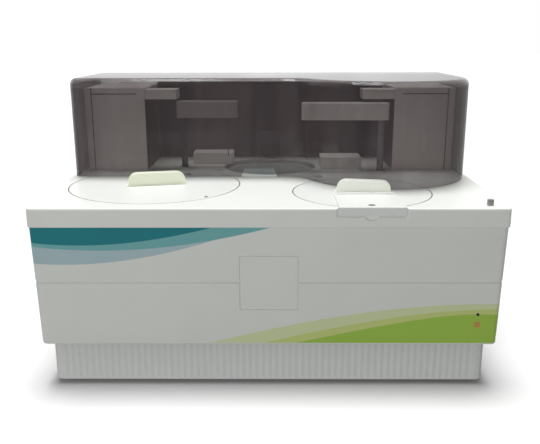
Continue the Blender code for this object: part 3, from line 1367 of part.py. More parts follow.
def make_rear_housing(name, side):
    """Light housing at a rear corner of the deck, open below, with a short head reaching inwards."""
    low_x, high_x = sorted((side * HOUSING_INNER_X, side * HOUSING_OUTER_X))
    front = FRONT + HOUSING_BACK
    back = FRONT + REAR_WALL_BACK + REAR_WALL_THICKNESS
    low = DECK + SEAT
    high = DECK + HOUSING_HEIGHT
    shell = slab(name, [rounded(low_x, high_x, front, back, BLOCK_RIM)], low, high,
                 white_plastic(name + "_white"), rim=HOUSING_RIM, rim_low=False)
    wall = HOUSING_WALL
    hollow = box(name + "_hollow", (low_x + wall, front + wall, low - OVERRUN),
                 (high_x - wall, back - wall, high - wall))
    head_low_x, head_high_x = sorted((side * (HOUSING_INNER_X + wall / 2),
                                      side * (HOUSING_INNER_X - HOUSING_HEAD_REACH)))
    head_high = high - HOUSING_HEAD_MARGIN
    join(shell, box(name + "_head",
                    (head_low_x, front + HOUSING_HEAD_MARGIN, head_high - HOUSING_HEAD_HEIGHT),
                    (head_high_x, front + HOUSING_HEAD_DEPTH, head_high)))
    seam_x = side * (HOUSING_OUTER_X - HOUSING_GROOVE_INSET)
    half = HOUSING_GROOVE / 2
    groove_back = front + HOUSING_GROOVE_DEPTH
    upright = box(name + "_upright_groove", (seam_x - half, front - OVERRUN, low - OVERRUN),
                  (seam_x + half, groove_back, high + OVERRUN))
    level_low_x, level_high_x = sorted((seam_x, side * (HOUSING_INNER_X + HOUSING_GROOVE_STOP)))
    level_z = DECK + HOUSING_GROOVE_UP
    level = box(name + "_level_groove", (level_low_x, front - OVERRUN, level_z - half),
                (level_high_x, groove_back, level_z + half))
    cut(shell, hollow, upright, level)


def make_deck_fittings():
    """Rear wall, housings, cuvette washer, lamp house and detector."""
    make_rear_housing("rear_housing_left", -1)
    make_rear_housing("rear_housing_right", 1)
    low = DECK + SEAT
    wall_y = FRONT + REAR_WALL_BACK
    half = HOUSING_INNER_X - SEAT
    box("deck_rear_wall", (-half, wall_y, low),
        (half, wall_y + REAR_WALL_THICKNESS, DECK + REAR_WALL_HEIGHT),
        dark_plastic("rear_wall_dark"))
    half = WASH_COLUMN_WIDTH / 2
    column_y = FRONT + WASH_COLUMN_BACK
    head_half = WASH_HEAD_WIDTH / 2
    head_low = DECK + WASH_HEAD_UP
    head_high = head_low + WASH_HEAD_HEIGHT
    washer = box("cuvette_washer", (-half, column_y, low),
                 (half, column_y + WASH_COLUMN_DEPTH, head_high - WASH_HEAD_HEIGHT / 4),
                 white_plastic("washer_white"))
    shapes = [box("washer_head", (-head_half, FRONT + WASH_HEAD_BACK, head_low),
                  (head_half, column_y + WASH_COLUMN_DEPTH / 2, head_high))]
    for index in range(WASH_NOZZLE_COUNT):
        step = index - (WASH_NOZZLE_COUNT - 1) / 2
        angle = math.pi / 2 - step * 2 * math.pi / CUVETTE_COUNT
        x = REACTION_RING_RADIUS * math.cos(angle)
        y = REACTION_Y + REACTION_RING_RADIUS * math.sin(angle)
        shapes.append(rod("washer_nozzle", WASH_NOZZLE_RADIUS, (x, y, DECK + WASH_NOZZLE_UP),
                          (x, y, head_low + OVERRUN), steps=HOLE_STEPS))
    join(washer, *shapes)
    for name, x, width, back, depth, height in (
            ("lamp_house", LAMP_HOUSE_X, LAMP_HOUSE_WIDTH, LAMP_HOUSE_BACK, LAMP_HOUSE_DEPTH,
             LAMP_HOUSE_HEIGHT),
            ("detector_box", DETECTOR_X, DETECTOR_WIDTH, DETECTOR_BACK, DETECTOR_DEPTH,
             DETECTOR_HEIGHT)):
        outline = rounded(x - width / 2, x + width / 2, FRONT + back, FRONT + back + depth,
                          2 * BLOCK_RIM)
        slab(name, [outline], low, DECK + height, white_plastic(name + "_white"), rim=BLOCK_RIM,
             rim_low=False)


# Fluidics and electrics

def make_syringes():
    """Syringe block on its bracket, with one plunger for each arm."""
    back = FRONT + SYRINGE_BACK
    low = CHASSIS_TOP + SEAT
    block_low = low + SYRINGE_UP
    half = SYRINGE_WIDTH / 2
    plate = box("syringe_block", (SYRINGE_X - half, back, low),
                (SYRINGE_X + half, back + SYRINGE_PLATE, block_low + SYRINGE_BLOCK_HEIGHT),
                surface("syringe_grey", (0.70, 0.71, 0.72), 0.35))
    block = box("syringe_body", (SYRINGE_X - half, back - SYRINGE_DEPTH, block_low),
                (SYRINGE_X + half, back + SYRINGE_PLATE / 2, block_low + SYRINGE_BLOCK_HEIGHT))
    foot = box("syringe_foot", (SYRINGE_X - half, back + SYRINGE_PLATE / 2, low),
               (SYRINGE_X + half, back + SYRINGE_FOOT_DEPTH, low + SYRINGE_PLATE))
    join(plate, block, foot)
    y = back - SYRINGE_DEPTH / 2
    for name, side in (("reagent_plunger", -1), ("sample_plunger", 1)):
        x = SYRINGE_X + side * SYRINGE_PITCH / 2
        cut(plate, rod(name + "_bore", PLUNGER_RADIUS + PLUNGER_GAP, (x, y, block_low - OVERRUN),
                       (x, y, block_low + SYRINGE_BLOCK_HEIGHT - SYRINGE_PLATE)))
        base = -PLUNGER_SHOWN
        profile = [(0.0, PLUNGER_LENGTH + base), (PLUNGER_RADIUS, PLUNGER_LENGTH + base),
                   (PLUNGER_RADIUS, base), (PLUNGER_HEAD, base),
                   (PLUNGER_HEAD, base - PLUNGER_HEAD_HEIGHT), (0.0, base - PLUNGER_HEAD_HEIGHT)]
        smooth(turned(name, profile, (x, y, block_low), steel(name + "_steel"), PIN_STEPS))


def make_electrics():
    """Power supply in the base and the control board on the chassis."""
    low = BASE_LOW + BASE_WALL + SEAT
    y = FRONT + SUPPLY_BACK
    box("power_supply", (SUPPLY_X - SUPPLY_WIDTH / 2, y, low),
        (SUPPLY_X + SUPPLY_WIDTH / 2, y + SUPPLY_DEPTH, low + SUPPLY_HEIGHT), steel("supply_steel"))
    y = FRONT + BOARD_BACK
    half = BOARD_WIDTH / 2
    deep = BOARD_DEPTH / 2
    foot = CHASSIS_TOP + SEAT
    board_low = foot + BOARD_STANDOFF
    board_top = board_low + BOARD_THICKNESS
    board = box("control_board", (BOARD_X - half, y - deep, board_low),
                (BOARD_X + half, y + deep, board_top),
                surface("board_green", (0.05, 0.22, 0.12), 0.45))
    sunk = board_top - BOARD_THICKNESS / 2
    chip = CHIP_WIDTH / 2
    inset = half - HEADER_DEPTH
    shapes = [box("board_chip", (BOARD_X - chip, y - chip, sunk),
                  (BOARD_X + chip, y + chip, board_top + CHIP_HEIGHT)),
              box("board_header", (BOARD_X - inset, y + deep - 2 * HEADER_DEPTH, sunk),
                  (BOARD_X + inset, y + deep - HEADER_DEPTH, board_top + HEADER_HEIGHT))]
    for side in (-1, 1):
        for end in (-1, 1):
            x = BOARD_X + side * inset
            stand_y = y + end * (deep - HEADER_DEPTH / 2)
            shapes.append(rod("board_standoff", BOARD_STANDOFF_RADIUS, (x, stand_y, foot),
                              (x, stand_y, sunk), steps=HOLE_STEPS))
    join(board, *shapes)


def make_fan():
    """Cooling fan behind the rear panel: square frame with a spider, and its rotor."""
    z = PANEL_LOW + FAN_UP
    half = FAN_SIZE / 2
    front = REAR_FACE - SHEET - SEAT - FAN_DEPTH
    frame = slab("fan_frame", [rounded(FAN_X - half, FAN_X + half, z - half, z + half, FAN_SPOKE),
                               circle(FAN_X, z, FAN_DUCT_RADIUS, TURN_STEPS)],
                 -front - FAN_DEPTH, -front, dark_plastic("fan_frame_dark"), turn=FACING_FRONT)
    shapes = []
    for deg in (0, 90):
        turn = Matrix.Rotation(math.radians(deg), 4, "Y")
        spoke = box("fan_spoke", (-FAN_DUCT_RADIUS - SEAT, 0, -FAN_SPOKE / 2),
                    (FAN_DUCT_RADIUS + SEAT, FAN_SPIDER, FAN_SPOKE / 2))
        spoke.matrix_world = Matrix.Translation((FAN_X, front, z)) @ turn
        shapes.append(spoke)
    shapes.append(rod("fan_boss", FAN_HUB_RADIUS, (FAN_X, front, z), (FAN_X, front + FAN_SPIDER, z),
                      steps=TURN_STEPS))
    join(frame, *shapes)
    pin_bore = rod("fan_pin_bore", FAN_PIN_RADIUS + SEAT, (FAN_X, front - OVERRUN, z),
                   (FAN_X, front + FAN_SPIDER + OVERRUN, z))
    cut(frame, pin_bore)
    hub_front = front + FAN_SPIDER + SEAT
    rotor = rod("fan_rotor", FAN_HUB_RADIUS, (0, 0, 0), (0, FAN_HUB_DEPTH, 0),
                dark_plastic("fan_rotor_dark"), TURN_STEPS)
    reach = FAN_DUCT_RADIUS - FAN_TIP_GAP
    blades = []
    for index in range(FAN_BLADE_COUNT):
        blade = box("fan_blade",
                    (FAN_HUB_RADIUS - OVERRUN / 2, -FAN_BLADE_CHORD / 2, -FAN_BLADE_THICKNESS / 2),
                    (reach, FAN_BLADE_CHORD / 2, FAN_BLADE_THICKNESS / 2))
        pitch = Matrix.Rotation(math.radians(FAN_BLADE_DEG), 4, "X")
        around = Matrix.Rotation(2 * math.pi * index / FAN_BLADE_COUNT, 4, "Y")
        hub_middle = Matrix.Translation((FAN_X, hub_front + FAN_HUB_DEPTH / 2, z))
        blade.matrix_world = hub_middle @ around @ pitch
        blades.append(blade)
    pin = rod("fan_pin", FAN_PIN_RADIUS, (FAN_X, hub_front - FAN_PIN_LENGTH + FAN_SPIDER, z),
              (FAN_X, hub_front + FAN_SPIDER, z))
    rotor.location = (FAN_X, hub_front, z)
    join(rotor, pin, *blades)


def make_inlet():
    """Power inlet with its socket and contacts, and the rocker switch above it."""
    front = REAR_FACE - INLET_DEPTH + INLET_FLANGE_DEPTH
    back = REAR_FACE + SEAT + INLET_FLANGE_DEPTH
    body = slab("power_inlet", [inlet_outline(0.0)], -back, -front, dark_plastic("inlet_dark"),
                turn=FACING_FRONT)
    flange = slab("inlet_flange", [inlet_outline(INLET_FLANGE)], -back, -REAR_FACE - SEAT,
                  turn=FACING_FRONT)
    middle_z = PANEL_LOW + INLET_UP + INLET_HEIGHT / 2
    socket_z = middle_z - SOCKET_DROP
    socket = box("inlet_socket",
                 (INLET_X - SOCKET_WIDTH / 2, back - SOCKET_DEPTH, socket_z - SOCKET_HEIGHT / 2),
                 (INLET_X + SOCKET_WIDTH / 2, back + OVERRUN, socket_z + SOCKET_HEIGHT / 2))
    rocker_z = middle_z + ROCKER_RAISE
    half = ROCKER_WIDTH / 2 + ROCKER_GAP
    tall = ROCKER_HEIGHT / 2 + ROCKER_GAP
    pocket = box("rocker_pocket", (INLET_X - half, back - ROCKER_POCKET, rocker_z - tall),
                 (INLET_X + half, back + OVERRUN, rocker_z + tall))
    join(body, flange)
    cut(body, socket, pocket)
    contacts = []
    for step in (-1, 0, 1):
        x = INLET_X + step * CONTACT_PITCH
        root = back - SOCKET_DEPTH
        contacts.append(box("inlet_contact",
                            (x - CONTACT_WIDTH / 2, root - OVERRUN / 2,
                             socket_z - CONTACT_HEIGHT / 2),
                            (x + CONTACT_WIDTH / 2, root + CONTACT_LENGTH,
                             socket_z + CONTACT_HEIGHT / 2)))
    join(body, *contacts)
    make_rocker(back, rocker_z)


def make_rocker(face, z):
    """Rocker whose two faces slope either side of its middle, on a round pivot in its pocket."""
    pivot = face - ROCKER_POCKET / 2
    radius = ROCKER_POCKET / 2 - 2 * SEAT
    half = ROCKER_HEIGHT / 2
    slope = half * math.tan(math.radians(ROCKER_TILT_DEG))
    rise = face - pivot + ROCKER_FACE
    outline = arc(0, 0, radius, 180, 360, TURN_STEPS // 2)
    outline += [(half, rise - ROCKER_FACE), (half, rise - slope), (0, rise),
                (-half, rise - slope), (-half, rise - ROCKER_FACE)]
    rise_turn = Matrix(((0, 0, 1), (0, 1, 0), (-1, 0, 0))).to_4x4()
    width = ROCKER_WIDTH / 2
    rocker = slab("power_rocker", [outline], -width, width,
                  surface("rocker_black", (0.02, 0.02, 0.02), 0.3), turn=rise_turn)
    rocker.location = (INLET_X, pivot, z)
    rocker.rotation_euler = (math.radians(-ROCKER_TILT_DEG), 0, 0)
    smooth(rocker)


def main():
    """Build every sub-part."""
    start_scene()
    make_base()
    make_front_panel()
    lamp_shapes((surface("power_lamp_dark", (0.03, 0.03, 0.03), 0.25),
                 surface("status_lamp_amber", (0.75, 0.42, 0.10), 0.3)), 0.0)
    make_side_panel("side_panel_left", -1)
    make_side_panel("side_panel_right", 1)
    make_rear_panel()
    make_top_cover()
    make_thumbscrew()
    make_hood()
    make_hood_hinge("hood_hinge_left", -HINGE_X)
    make_hood_hinge("hood_hinge_right", HINGE_X)
    make_lid("reagent_lid", REAGENT_X, REAGENT_Y, REAGENT_LID_RADIUS, reagent_access())
    sample_lid = make_lid("sample_lid", SAMPLE_X, SAMPLE_Y, SAMPLE_LID_RADIUS, sample_access())
    add_flap_ears(sample_lid)
    make_handle("reagent_lid_handle", REAGENT_X + HANDLE_OFFSET, REAGENT_Y, REAGENT_HANDLE_LENGTH,
                REAGENT_HANDLE_TOP, REAGENT_HANDLE_HEIGHT, REAGENT_HANDLE_DEG)
    make_handle("sample_lid_handle", SAMPLE_X + HANDLE_OFFSET, SAMPLE_Y - SAMPLE_HANDLE_AHEAD,
                SAMPLE_HANDLE_LENGTH, SAMPLE_HANDLE_TOP, SAMPLE_HANDLE_HEIGHT, SAMPLE_HANDLE_DEG)
    make_flap()
    make_carousels()
    make_arm("reagent", REAGENT_POST, REAGENT_LINK, REAGENT_ARM_NOSE, 0.0)
    make_arm("sample", SAMPLE_POST, SAMPLE_LINK, 0.0, 180.0)
    make_wells()
    make_deck_fittings()
    make_syringes()
    make_electrics()
    make_fan()
    make_inlet()


main()
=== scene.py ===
"""Looks of the benchtop chemistry analyzer: materials, stripes, small details, camera, light.

Metres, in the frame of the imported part: +X right, +Z up, the front towards -Y.
"""
import math

import bmesh
import bpy
from mathutils import Matrix, Vector


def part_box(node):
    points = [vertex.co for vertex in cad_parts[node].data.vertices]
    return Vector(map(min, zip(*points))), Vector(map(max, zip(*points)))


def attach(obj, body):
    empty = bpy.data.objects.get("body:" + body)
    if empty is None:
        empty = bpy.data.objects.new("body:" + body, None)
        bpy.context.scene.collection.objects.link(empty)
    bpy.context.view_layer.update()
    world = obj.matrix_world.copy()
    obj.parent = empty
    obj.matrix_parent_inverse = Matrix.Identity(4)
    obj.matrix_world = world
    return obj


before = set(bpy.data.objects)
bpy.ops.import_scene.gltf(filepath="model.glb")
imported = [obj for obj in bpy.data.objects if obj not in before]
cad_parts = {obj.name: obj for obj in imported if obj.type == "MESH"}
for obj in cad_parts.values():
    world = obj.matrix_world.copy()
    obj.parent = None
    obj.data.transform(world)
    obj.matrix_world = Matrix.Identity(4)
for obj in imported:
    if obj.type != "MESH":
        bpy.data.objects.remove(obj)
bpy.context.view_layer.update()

# Camera, from the fit to the photograph
CAMERA_PLACE = (0.01078, -1.46155, 0.62959)
CAMERA_PITCH_DEG = 14.96
CAMERA_YAW_DEG = 0.38
CAMERA_ROLL_DEG = -0.10
IMAGE_WIDTH = 540
FOCAL_PIXELS = 680.46
SENSOR_MM = 36.0

# Sky: its light on the part, its white for the camera, and what mirrors find in front and behind,
# each from the dull to the bright streaks of the room
SKY_STRENGTH = 0.20
WHITE_STRENGTH = 1.0
MIRRORED_FRONT = (0.05, 0.95)
MIRRORED_BACK = (0.75, 1.0)
MIRRORED_TURN = (-0.2, 0.6)
ROOM_STREAK = 0.16

# Lamps
OVERHEAD_STRENGTH = 1.7
OVERHEAD_DISC_DEG = 24.0
OVERHEAD_BACK_DEG = -8.5
OVERHEAD_SIDES_DEG = (-8.0, 4.0)
FRONT_PLACE = (-0.95, -3.10, 0.75)
FRONT_WATTS = 26.0
FRONT_SIZE = 1.7

# Floor
FLOOR_SEEN = 0.87
FLOOR_BOUNCE = 0.27
FLOOR_REACH = 30.0
FLOOR_CLOUD = 0.6
FLOOR_TONES = (0.99, 1.0)
FLOOR_ROUGHNESS = 0.9

# Noise: how finely it is broken up, and how streaks are drawn out of it
FINE_DETAIL = 2.0
SLOW_DETAIL = 3.0
WEAR_DETAIL = 4.0
STREAK_TALL = 0.12
STREAK_RANGE = (0.35, 0.65)

# Moulded and painted surfaces
GRAIN_STRENGTH = 0.6
WEAR_SHARE = 0.25
ROUGHNESS_SWING = 0.05
HOUSING_ROUGHNESS = 0.45
BASE_ROUGHNESS = 0.46

# Brushed metal
BRUSH_STRETCH = 0.02
BRUSH_LINE = 0.0006
BRUSH_STRENGTH = 0.5
BRUSH_DEPTH = 0.00001
BRUSH_CLOUD = 0.03
BRUSH_MOTTLE = 0.06
BRUSH_ROUGHNESS_SWING = (-0.08, 0.10)

# Smoked hood; the upright streaks in its colour and density are painted reflections of the room
HOOD_REFLECTION_STREAK = 0.055
HOOD_REFLECTION_MOTTLE = 0.30
HOOD_ROUGHNESS = (0.045, 0.055)
HOOD_ROUGHNESS_CLOUD = 0.05
HOOD_REFLECTION_DENSITY_SWING = (-0.04, 0.05)
HOOD_IOR = 1.49
GLANCE_BLEND = 0.5
GLANCE_POWER = 5.0

# Front panel as built: outline at its foot, how much each side widens to the top, and its seam
PANEL_HALF = 0.4235
PANEL_DRAFT = 0.006
PANEL_FRONT = -0.297
PANEL_CORNER = 0.012
PANEL_CORNER_STEPS = 6
PANEL_LOW = 0.082
PANEL_HIGH = 0.308
PANEL_RIM = 0.0035
PANEL_SEAM_Y = -0.2275

# Places on the part where colours and painted shade change
DECK = 0.3435
BASE_TOP = 0.082
HOUSING_INNER = 0.278
HOUSING_FRONT = 0.070
HOUSING_OUTER = 0.4125
HOUSING_HEAD_LOW = 0.5025
HOUSING_GROOVE_DEEP = 0.0014
HOUSING_GROOVE_MARGIN = 0.003
HOUSING_SKIN = 0.0006
HOUSING_ROUNDING = 0.0016
HOOD_END = 0.4178
HOOD_RIM_LOW = 0.541

# Dark rings in the gaps round the lids, painted shade for the deep gaps: lid centres and radii,
# the gap, and the heights of the ring
REAGENT_LID = (-0.233, -0.092, 0.1715)
SAMPLE_LID = (0.181, -0.1615, 0.1335)
LID_GAP = 0.0022
LID_LEDGE_DEEP = 0.0033
SHADE_RING_CLEARANCE = 0.0003
SHADE_RING_EDGE = -0.0012
SHADE_RING_CROWN = -0.0009
SHADE_RING_STEPS = 96

# Lock in the flap: its dome and the rim of its keyhole are shares of its radius
LOCK_PLACE = (0.184, -0.285, DECK + 0.0028)
LOCK_RADIUS = 0.0067
LOCK_RECESS = 0.0010
LOCK_CLEARANCE = 0.0001
LOCK_EDGE = -0.0002
LOCK_DOME_SHARE = 0.85
LOCK_HOLE_SHARES = (0.35, 0.30)
LOCK_HOLE_DEEP = 0.0004
LOCK_STEPS = 40

# Pin in the rim of the reagent lid
PIN_PLACE = (-0.118, -0.208, DECK)
PIN_RADIUS = 0.0034
PIN_SHOULDER_SHARE = 0.7
PIN_FOOT = 0.0002
PIN_SIDE = 0.0008
PIN_SHOULDER = 0.0016
PIN_TOP = 0.0020
PIN_STEPS = 24

# Screws of the side and rear panels
SCREW_RADIUS = 0.0035
SCREW_CROWN_SHARE = 0.8
SCREW_PROUD = 0.0007
SCREW_SUNK = 0.0003
SCREW_SOCKET = 0.0013
SCREW_STEPS = 24
SCREW_HEIGHTS = (0.100, 0.290)
SIDE_SCREW_DEPTHS = (-0.205, 0.270)
REAR_SCREW_PLACES = (-0.405, 0.0, 0.405)

MERGE_DISTANCE = 0.000001

# Printed stripes. Each edge: the place along the panel where it is level, its height there, how
# softly it bends, and the slope that it settles to
STRIPE_PROUD = 0.00012
STRIPE_STEP = 0.004
STRIPE_END_GAP = 0.0006
STRIPE_LOW = PANEL_LOW + PANEL_RIM + 0.0005
STRIPE_HIGH = PANEL_HIGH - 0.0002
TEAL_EDGES = ((-0.336, 0.2748, 0.221, 0.530), (-0.300, 0.2652, 0.500, 0.696),
              (-0.368, 0.2385, 0.500, 0.809))
GREEN_EDGES = ((0.387, 0.1429, 0.0275, 0.237), (0.420, 0.1530, 0.090, 0.300),
               (0.409, 0.1634, 0.256, 0.413))


# Node helpers

class Nodes:
    """Short way to place and link shader nodes."""

    def __init__(self, tree):
        self.tree = tree

    def add(self, kind, **inputs):
        """Add a node; an input value that is a socket is linked and any other is set."""
        node = self.tree.nodes.new(kind)
        for key, value in inputs.items():
            self.put(node, key.replace("_", " "), value)
        return node

    def put(self, node, key, value):
        """Set or link one input of a node."""
        socket = node.inputs[key]
        if isinstance(value, bpy.types.NodeSocket):
            self.tree.links.new(value, socket)
        else:
            socket.default_value = value


def blank_material(name):
    """Material with an empty node tree, and its Principled shader on the output."""
    material = bpy.data.materials.new(name)
    material.use_nodes = True
    material.node_tree.nodes.clear()
    nodes = Nodes(material.node_tree)
    shader = nodes.add("ShaderNodeBsdfPrincipled")
    output = nodes.add("ShaderNodeOutputMaterial")
    nodes.tree.links.new(shader.outputs["BSDF"], output.inputs["Surface"])
    return material, nodes, shader


def computed(nodes, operation, first, second=0.0):
    """Result of one sum on one or two values."""
    node = nodes.add("ShaderNodeMath")
    node.operation = operation
    nodes.put(node, 0, first)
    nodes.put(node, 1, second)
    return node.outputs[0]


def product(nodes, *factors):
    """All the given values multiplied."""
    result = factors[0]
    for factor in factors[1:]:
        result = computed(nodes, "MULTIPLY", result, factor)
    return result


def spread(nodes, factor, low, high, limits=(0.0, 1.0), curve="LINEAR"):
    """Map a factor that runs between two limits on to a range of numbers."""
    remap = nodes.add("ShaderNodeMapRange", Value=factor)
    remap.interpolation_type = curve
    nodes.put(remap, "From Min", limits[0])
    nodes.put(remap, "From Max", limits[1])
    nodes.put(remap, "To Min", low)
    nodes.put(remap, "To Max", high)
    return remap.outputs["Result"]


def noise(nodes, place, size, detail=FINE_DETAIL):
    """Noise whose features are about the given size in metres."""
    node = nodes.add("ShaderNodeTexNoise", Vector=place, Scale=1.0 / size, Detail=detail)
    return node.outputs["Fac"]


def upright_streaks(nodes, place, size):
    """Soft upright streaks, from 0 to 1, about the given size across."""
    tall = nodes.add("ShaderNodeMapping", Vector=place)
    tall.inputs["Scale"].default_value = (1.0, 1.0, STREAK_TALL)
    drift = noise(nodes, tall.outputs["Vector"], size, SLOW_DETAIL)
    return spread(nodes, drift, 0.0, 1.0, STREAK_RANGE)


def mixed(nodes, factor, low_color, high_color):
    """Colour between two others, each of them plain or a socket."""
    mix = nodes.add("ShaderNodeMix")
    mix.data_type = "RGBA"
    nodes.put(mix, "Factor", factor)
    for key, color in ((6, low_color), (7, high_color)):
        plain = not isinstance(color, bpy.types.NodeSocket)
        nodes.put(mix, key, (*color, 1.0) if plain else color)
    return mix.outputs[2]


def tinted(nodes, factor, color, swing):
    """Colour that varies a little either side of the given one."""
    return mixed(nodes, factor, [channel * (1 - swing) for channel in color],
                 [min(1.0, channel * (1 + swing)) for channel in color])


def object_place(nodes):
    """Place in the part's frame."""
    return nodes.add("ShaderNodeTexCoord").outputs["Object"]


def place_parts(nodes):
    """Place in the part's frame: its distance from the middle plane, its depth and its height."""
    parts = nodes.add("ShaderNodeSeparateXYZ", Vector=object_place(nodes)).outputs
    return computed(nodes, "ABSOLUTE", parts["X"]), parts["Y"], parts["Z"]


def above(nodes, value, limit):
    """One where a value is above a limit, else zero."""
    return computed(nodes, "GREATER_THAN", value, limit)


def below(nodes, value, limit):
    """One where a value is below a limit, else zero."""
    return computed(nodes, "LESS_THAN", value, limit)


# Materials

def moulded_parts(name, color, roughness, grain=0.0008, depth=0.00002, mottle=0.03, cloud=0.09,
                  shine=0.5, coat=0.0):
    """Moulded or painted surface, with its nodes and its shader."""
    material, nodes, shader = blank_material(name)
    place = object_place(nodes)
    clouds = noise(nodes, place, cloud, SLOW_DETAIL)
    wear = noise(nodes, place, cloud * WEAR_SHARE, WEAR_DETAIL)
    bump = nodes.add("ShaderNodeBump", Height=noise(nodes, place, grain), Strength=GRAIN_STRENGTH,
                     Distance=depth)
    nodes.put(shader, "Base Color", tinted(nodes, clouds, color, mottle))
    nodes.put(shader, "Roughness", spread(nodes, wear, roughness - ROUGHNESS_SWING,
                                          roughness + ROUGHNESS_SWING))
    nodes.put(shader, "Normal", bump.outputs["Normal"])
    nodes.put(shader, "Specular IOR Level", shine)
    nodes.put(shader, "Coat Weight", coat)
    return material, nodes, shader


def moulded(name, color, roughness, **options):
    """Moulded or painted surface: fine grain, slow colour clouds and uneven gloss."""
    return moulded_parts(name, color, roughness, **options)[0]


def paint_over(nodes, shader, share, color):
    """Lay a second colour over a shader's own, as far as share says."""
    own = shader.inputs["Base Color"].links[0].from_socket
    nodes.put(shader, "Base Color", mixed(nodes, share, own, color))


def housing_look(name, color, painted_shade_color):
    """Moulded housing with painted shade: near black in its seam grooves and on its wall towards
    the middle of the deck, where shade falls.
    """
    material, nodes, shader = moulded_parts(name, color, HOUSING_ROUGHNESS)
    across, depth, height = place_parts(nodes)
    # Painted shade on the wall that faces the middle of the deck
    wall = product(nodes, below(nodes, across, HOUSING_INNER + HOUSING_SKIN),
                   above(nodes, depth, HOUSING_FRONT + HOUSING_ROUNDING),
                   below(nodes, height, HOUSING_HEAD_LOW - HOUSING_SKIN))
    # Painted shade in the seam grooves of the front face
    seams = product(nodes, above(nodes, across, HOUSING_INNER + HOUSING_GROOVE_MARGIN),
                    below(nodes, across, HOUSING_OUTER - HOUSING_GROOVE_MARGIN),
                    above(nodes, depth, HOUSING_FRONT + HOUSING_GROOVE_DEEP / 2),
                    below(nodes, depth, HOUSING_FRONT + 2 * HOUSING_GROOVE_DEEP))
    paint_over(nodes, shader, computed(nodes, "MAXIMUM", wall, seams), painted_shade_color)
    return material


def base_with_painted_shade(name, low_color, high_color):
    """Moulded base with painted shade: darker towards its top, under the panel's overhang, and
    paler towards the floor, as if lit by the floor's bounced light.
    """
    material, nodes, shader = moulded_parts(name, low_color, BASE_ROUGHNESS)
    # Painted light and shade: pale at the floor, darkening up to the top of the base
    rise = spread(nodes, place_parts(nodes)[2], 0.0, 1.0, (0.0, BASE_TOP))
    paint_over(nodes, shader, rise, high_color)
    return material


def brushed(name, color, roughness, along):
    """Metal with fine lines that run along one axis."""
    material, nodes, shader = blank_material(name)
    place = object_place(nodes)
    stretch = nodes.add("ShaderNodeMapping", Vector=place)
    stretch.inputs["Scale"].default_value = [BRUSH_STRETCH if axis == along else 1.0
                                             for axis in "XYZ"]
    lines = noise(nodes, stretch.outputs["Vector"], BRUSH_LINE, SLOW_DETAIL)
    bump = nodes.add("ShaderNodeBump", Height=lines, Strength=BRUSH_STRENGTH, Distance=BRUSH_DEPTH)
    less, more = BRUSH_ROUGHNESS_SWING
    nodes.put(shader, "Base Color",
              tinted(nodes, noise(nodes, place, BRUSH_CLOUD), color, BRUSH_MOTTLE))
    nodes.put(shader, "Roughness", spread(nodes, lines, roughness + less, roughness + more))
    nodes.put(shader, "Normal", bump.outputs["Normal"])
    nodes.put(shader, "Metallic", 1.0)
    return material


def smoked(name, color, density, end_shade_density):
    """Smoked see-through plastic, denser at a glancing view, with its end walls made denser as
    painted shade and upright streaks as painted reflections.
    """
    material, nodes, shader = blank_material(name)
    place = object_place(nodes)
    # Upright streaks for the colour and density: painted reflections of the room's windows
    streaks = upright_streaks(nodes, place, HOOD_REFLECTION_STREAK)
    clouds = noise(nodes, place, HOOD_ROUGHNESS_CLOUD)
    facing = nodes.add("ShaderNodeLayerWeight", Blend=GLANCE_BLEND).outputs["Facing"]
    glance = computed(nodes, "POWER", facing, GLANCE_POWER)
    across, _, height = place_parts(nodes)
    # Denser end walls: painted shade at the hood's ends
    end = product(nodes, above(nodes, across, HOOD_END), below(nodes, height, HOOD_RIM_LOW))
    less, more = HOOD_REFLECTION_DENSITY_SWING
    wall = spread(nodes, streaks, density + less, density + more)
    face_on = spread(nodes, end, wall, end_shade_density)
    nodes.put(shader, "Base Color", tinted(nodes, streaks, color, HOOD_REFLECTION_MOTTLE))
    nodes.put(shader, "Roughness", spread(nodes, clouds, *HOOD_ROUGHNESS))
    nodes.put(shader, "Alpha", spread(nodes, glance, face_on, 1.0))
    nodes.put(shader, "IOR", HOOD_IOR)
    return material


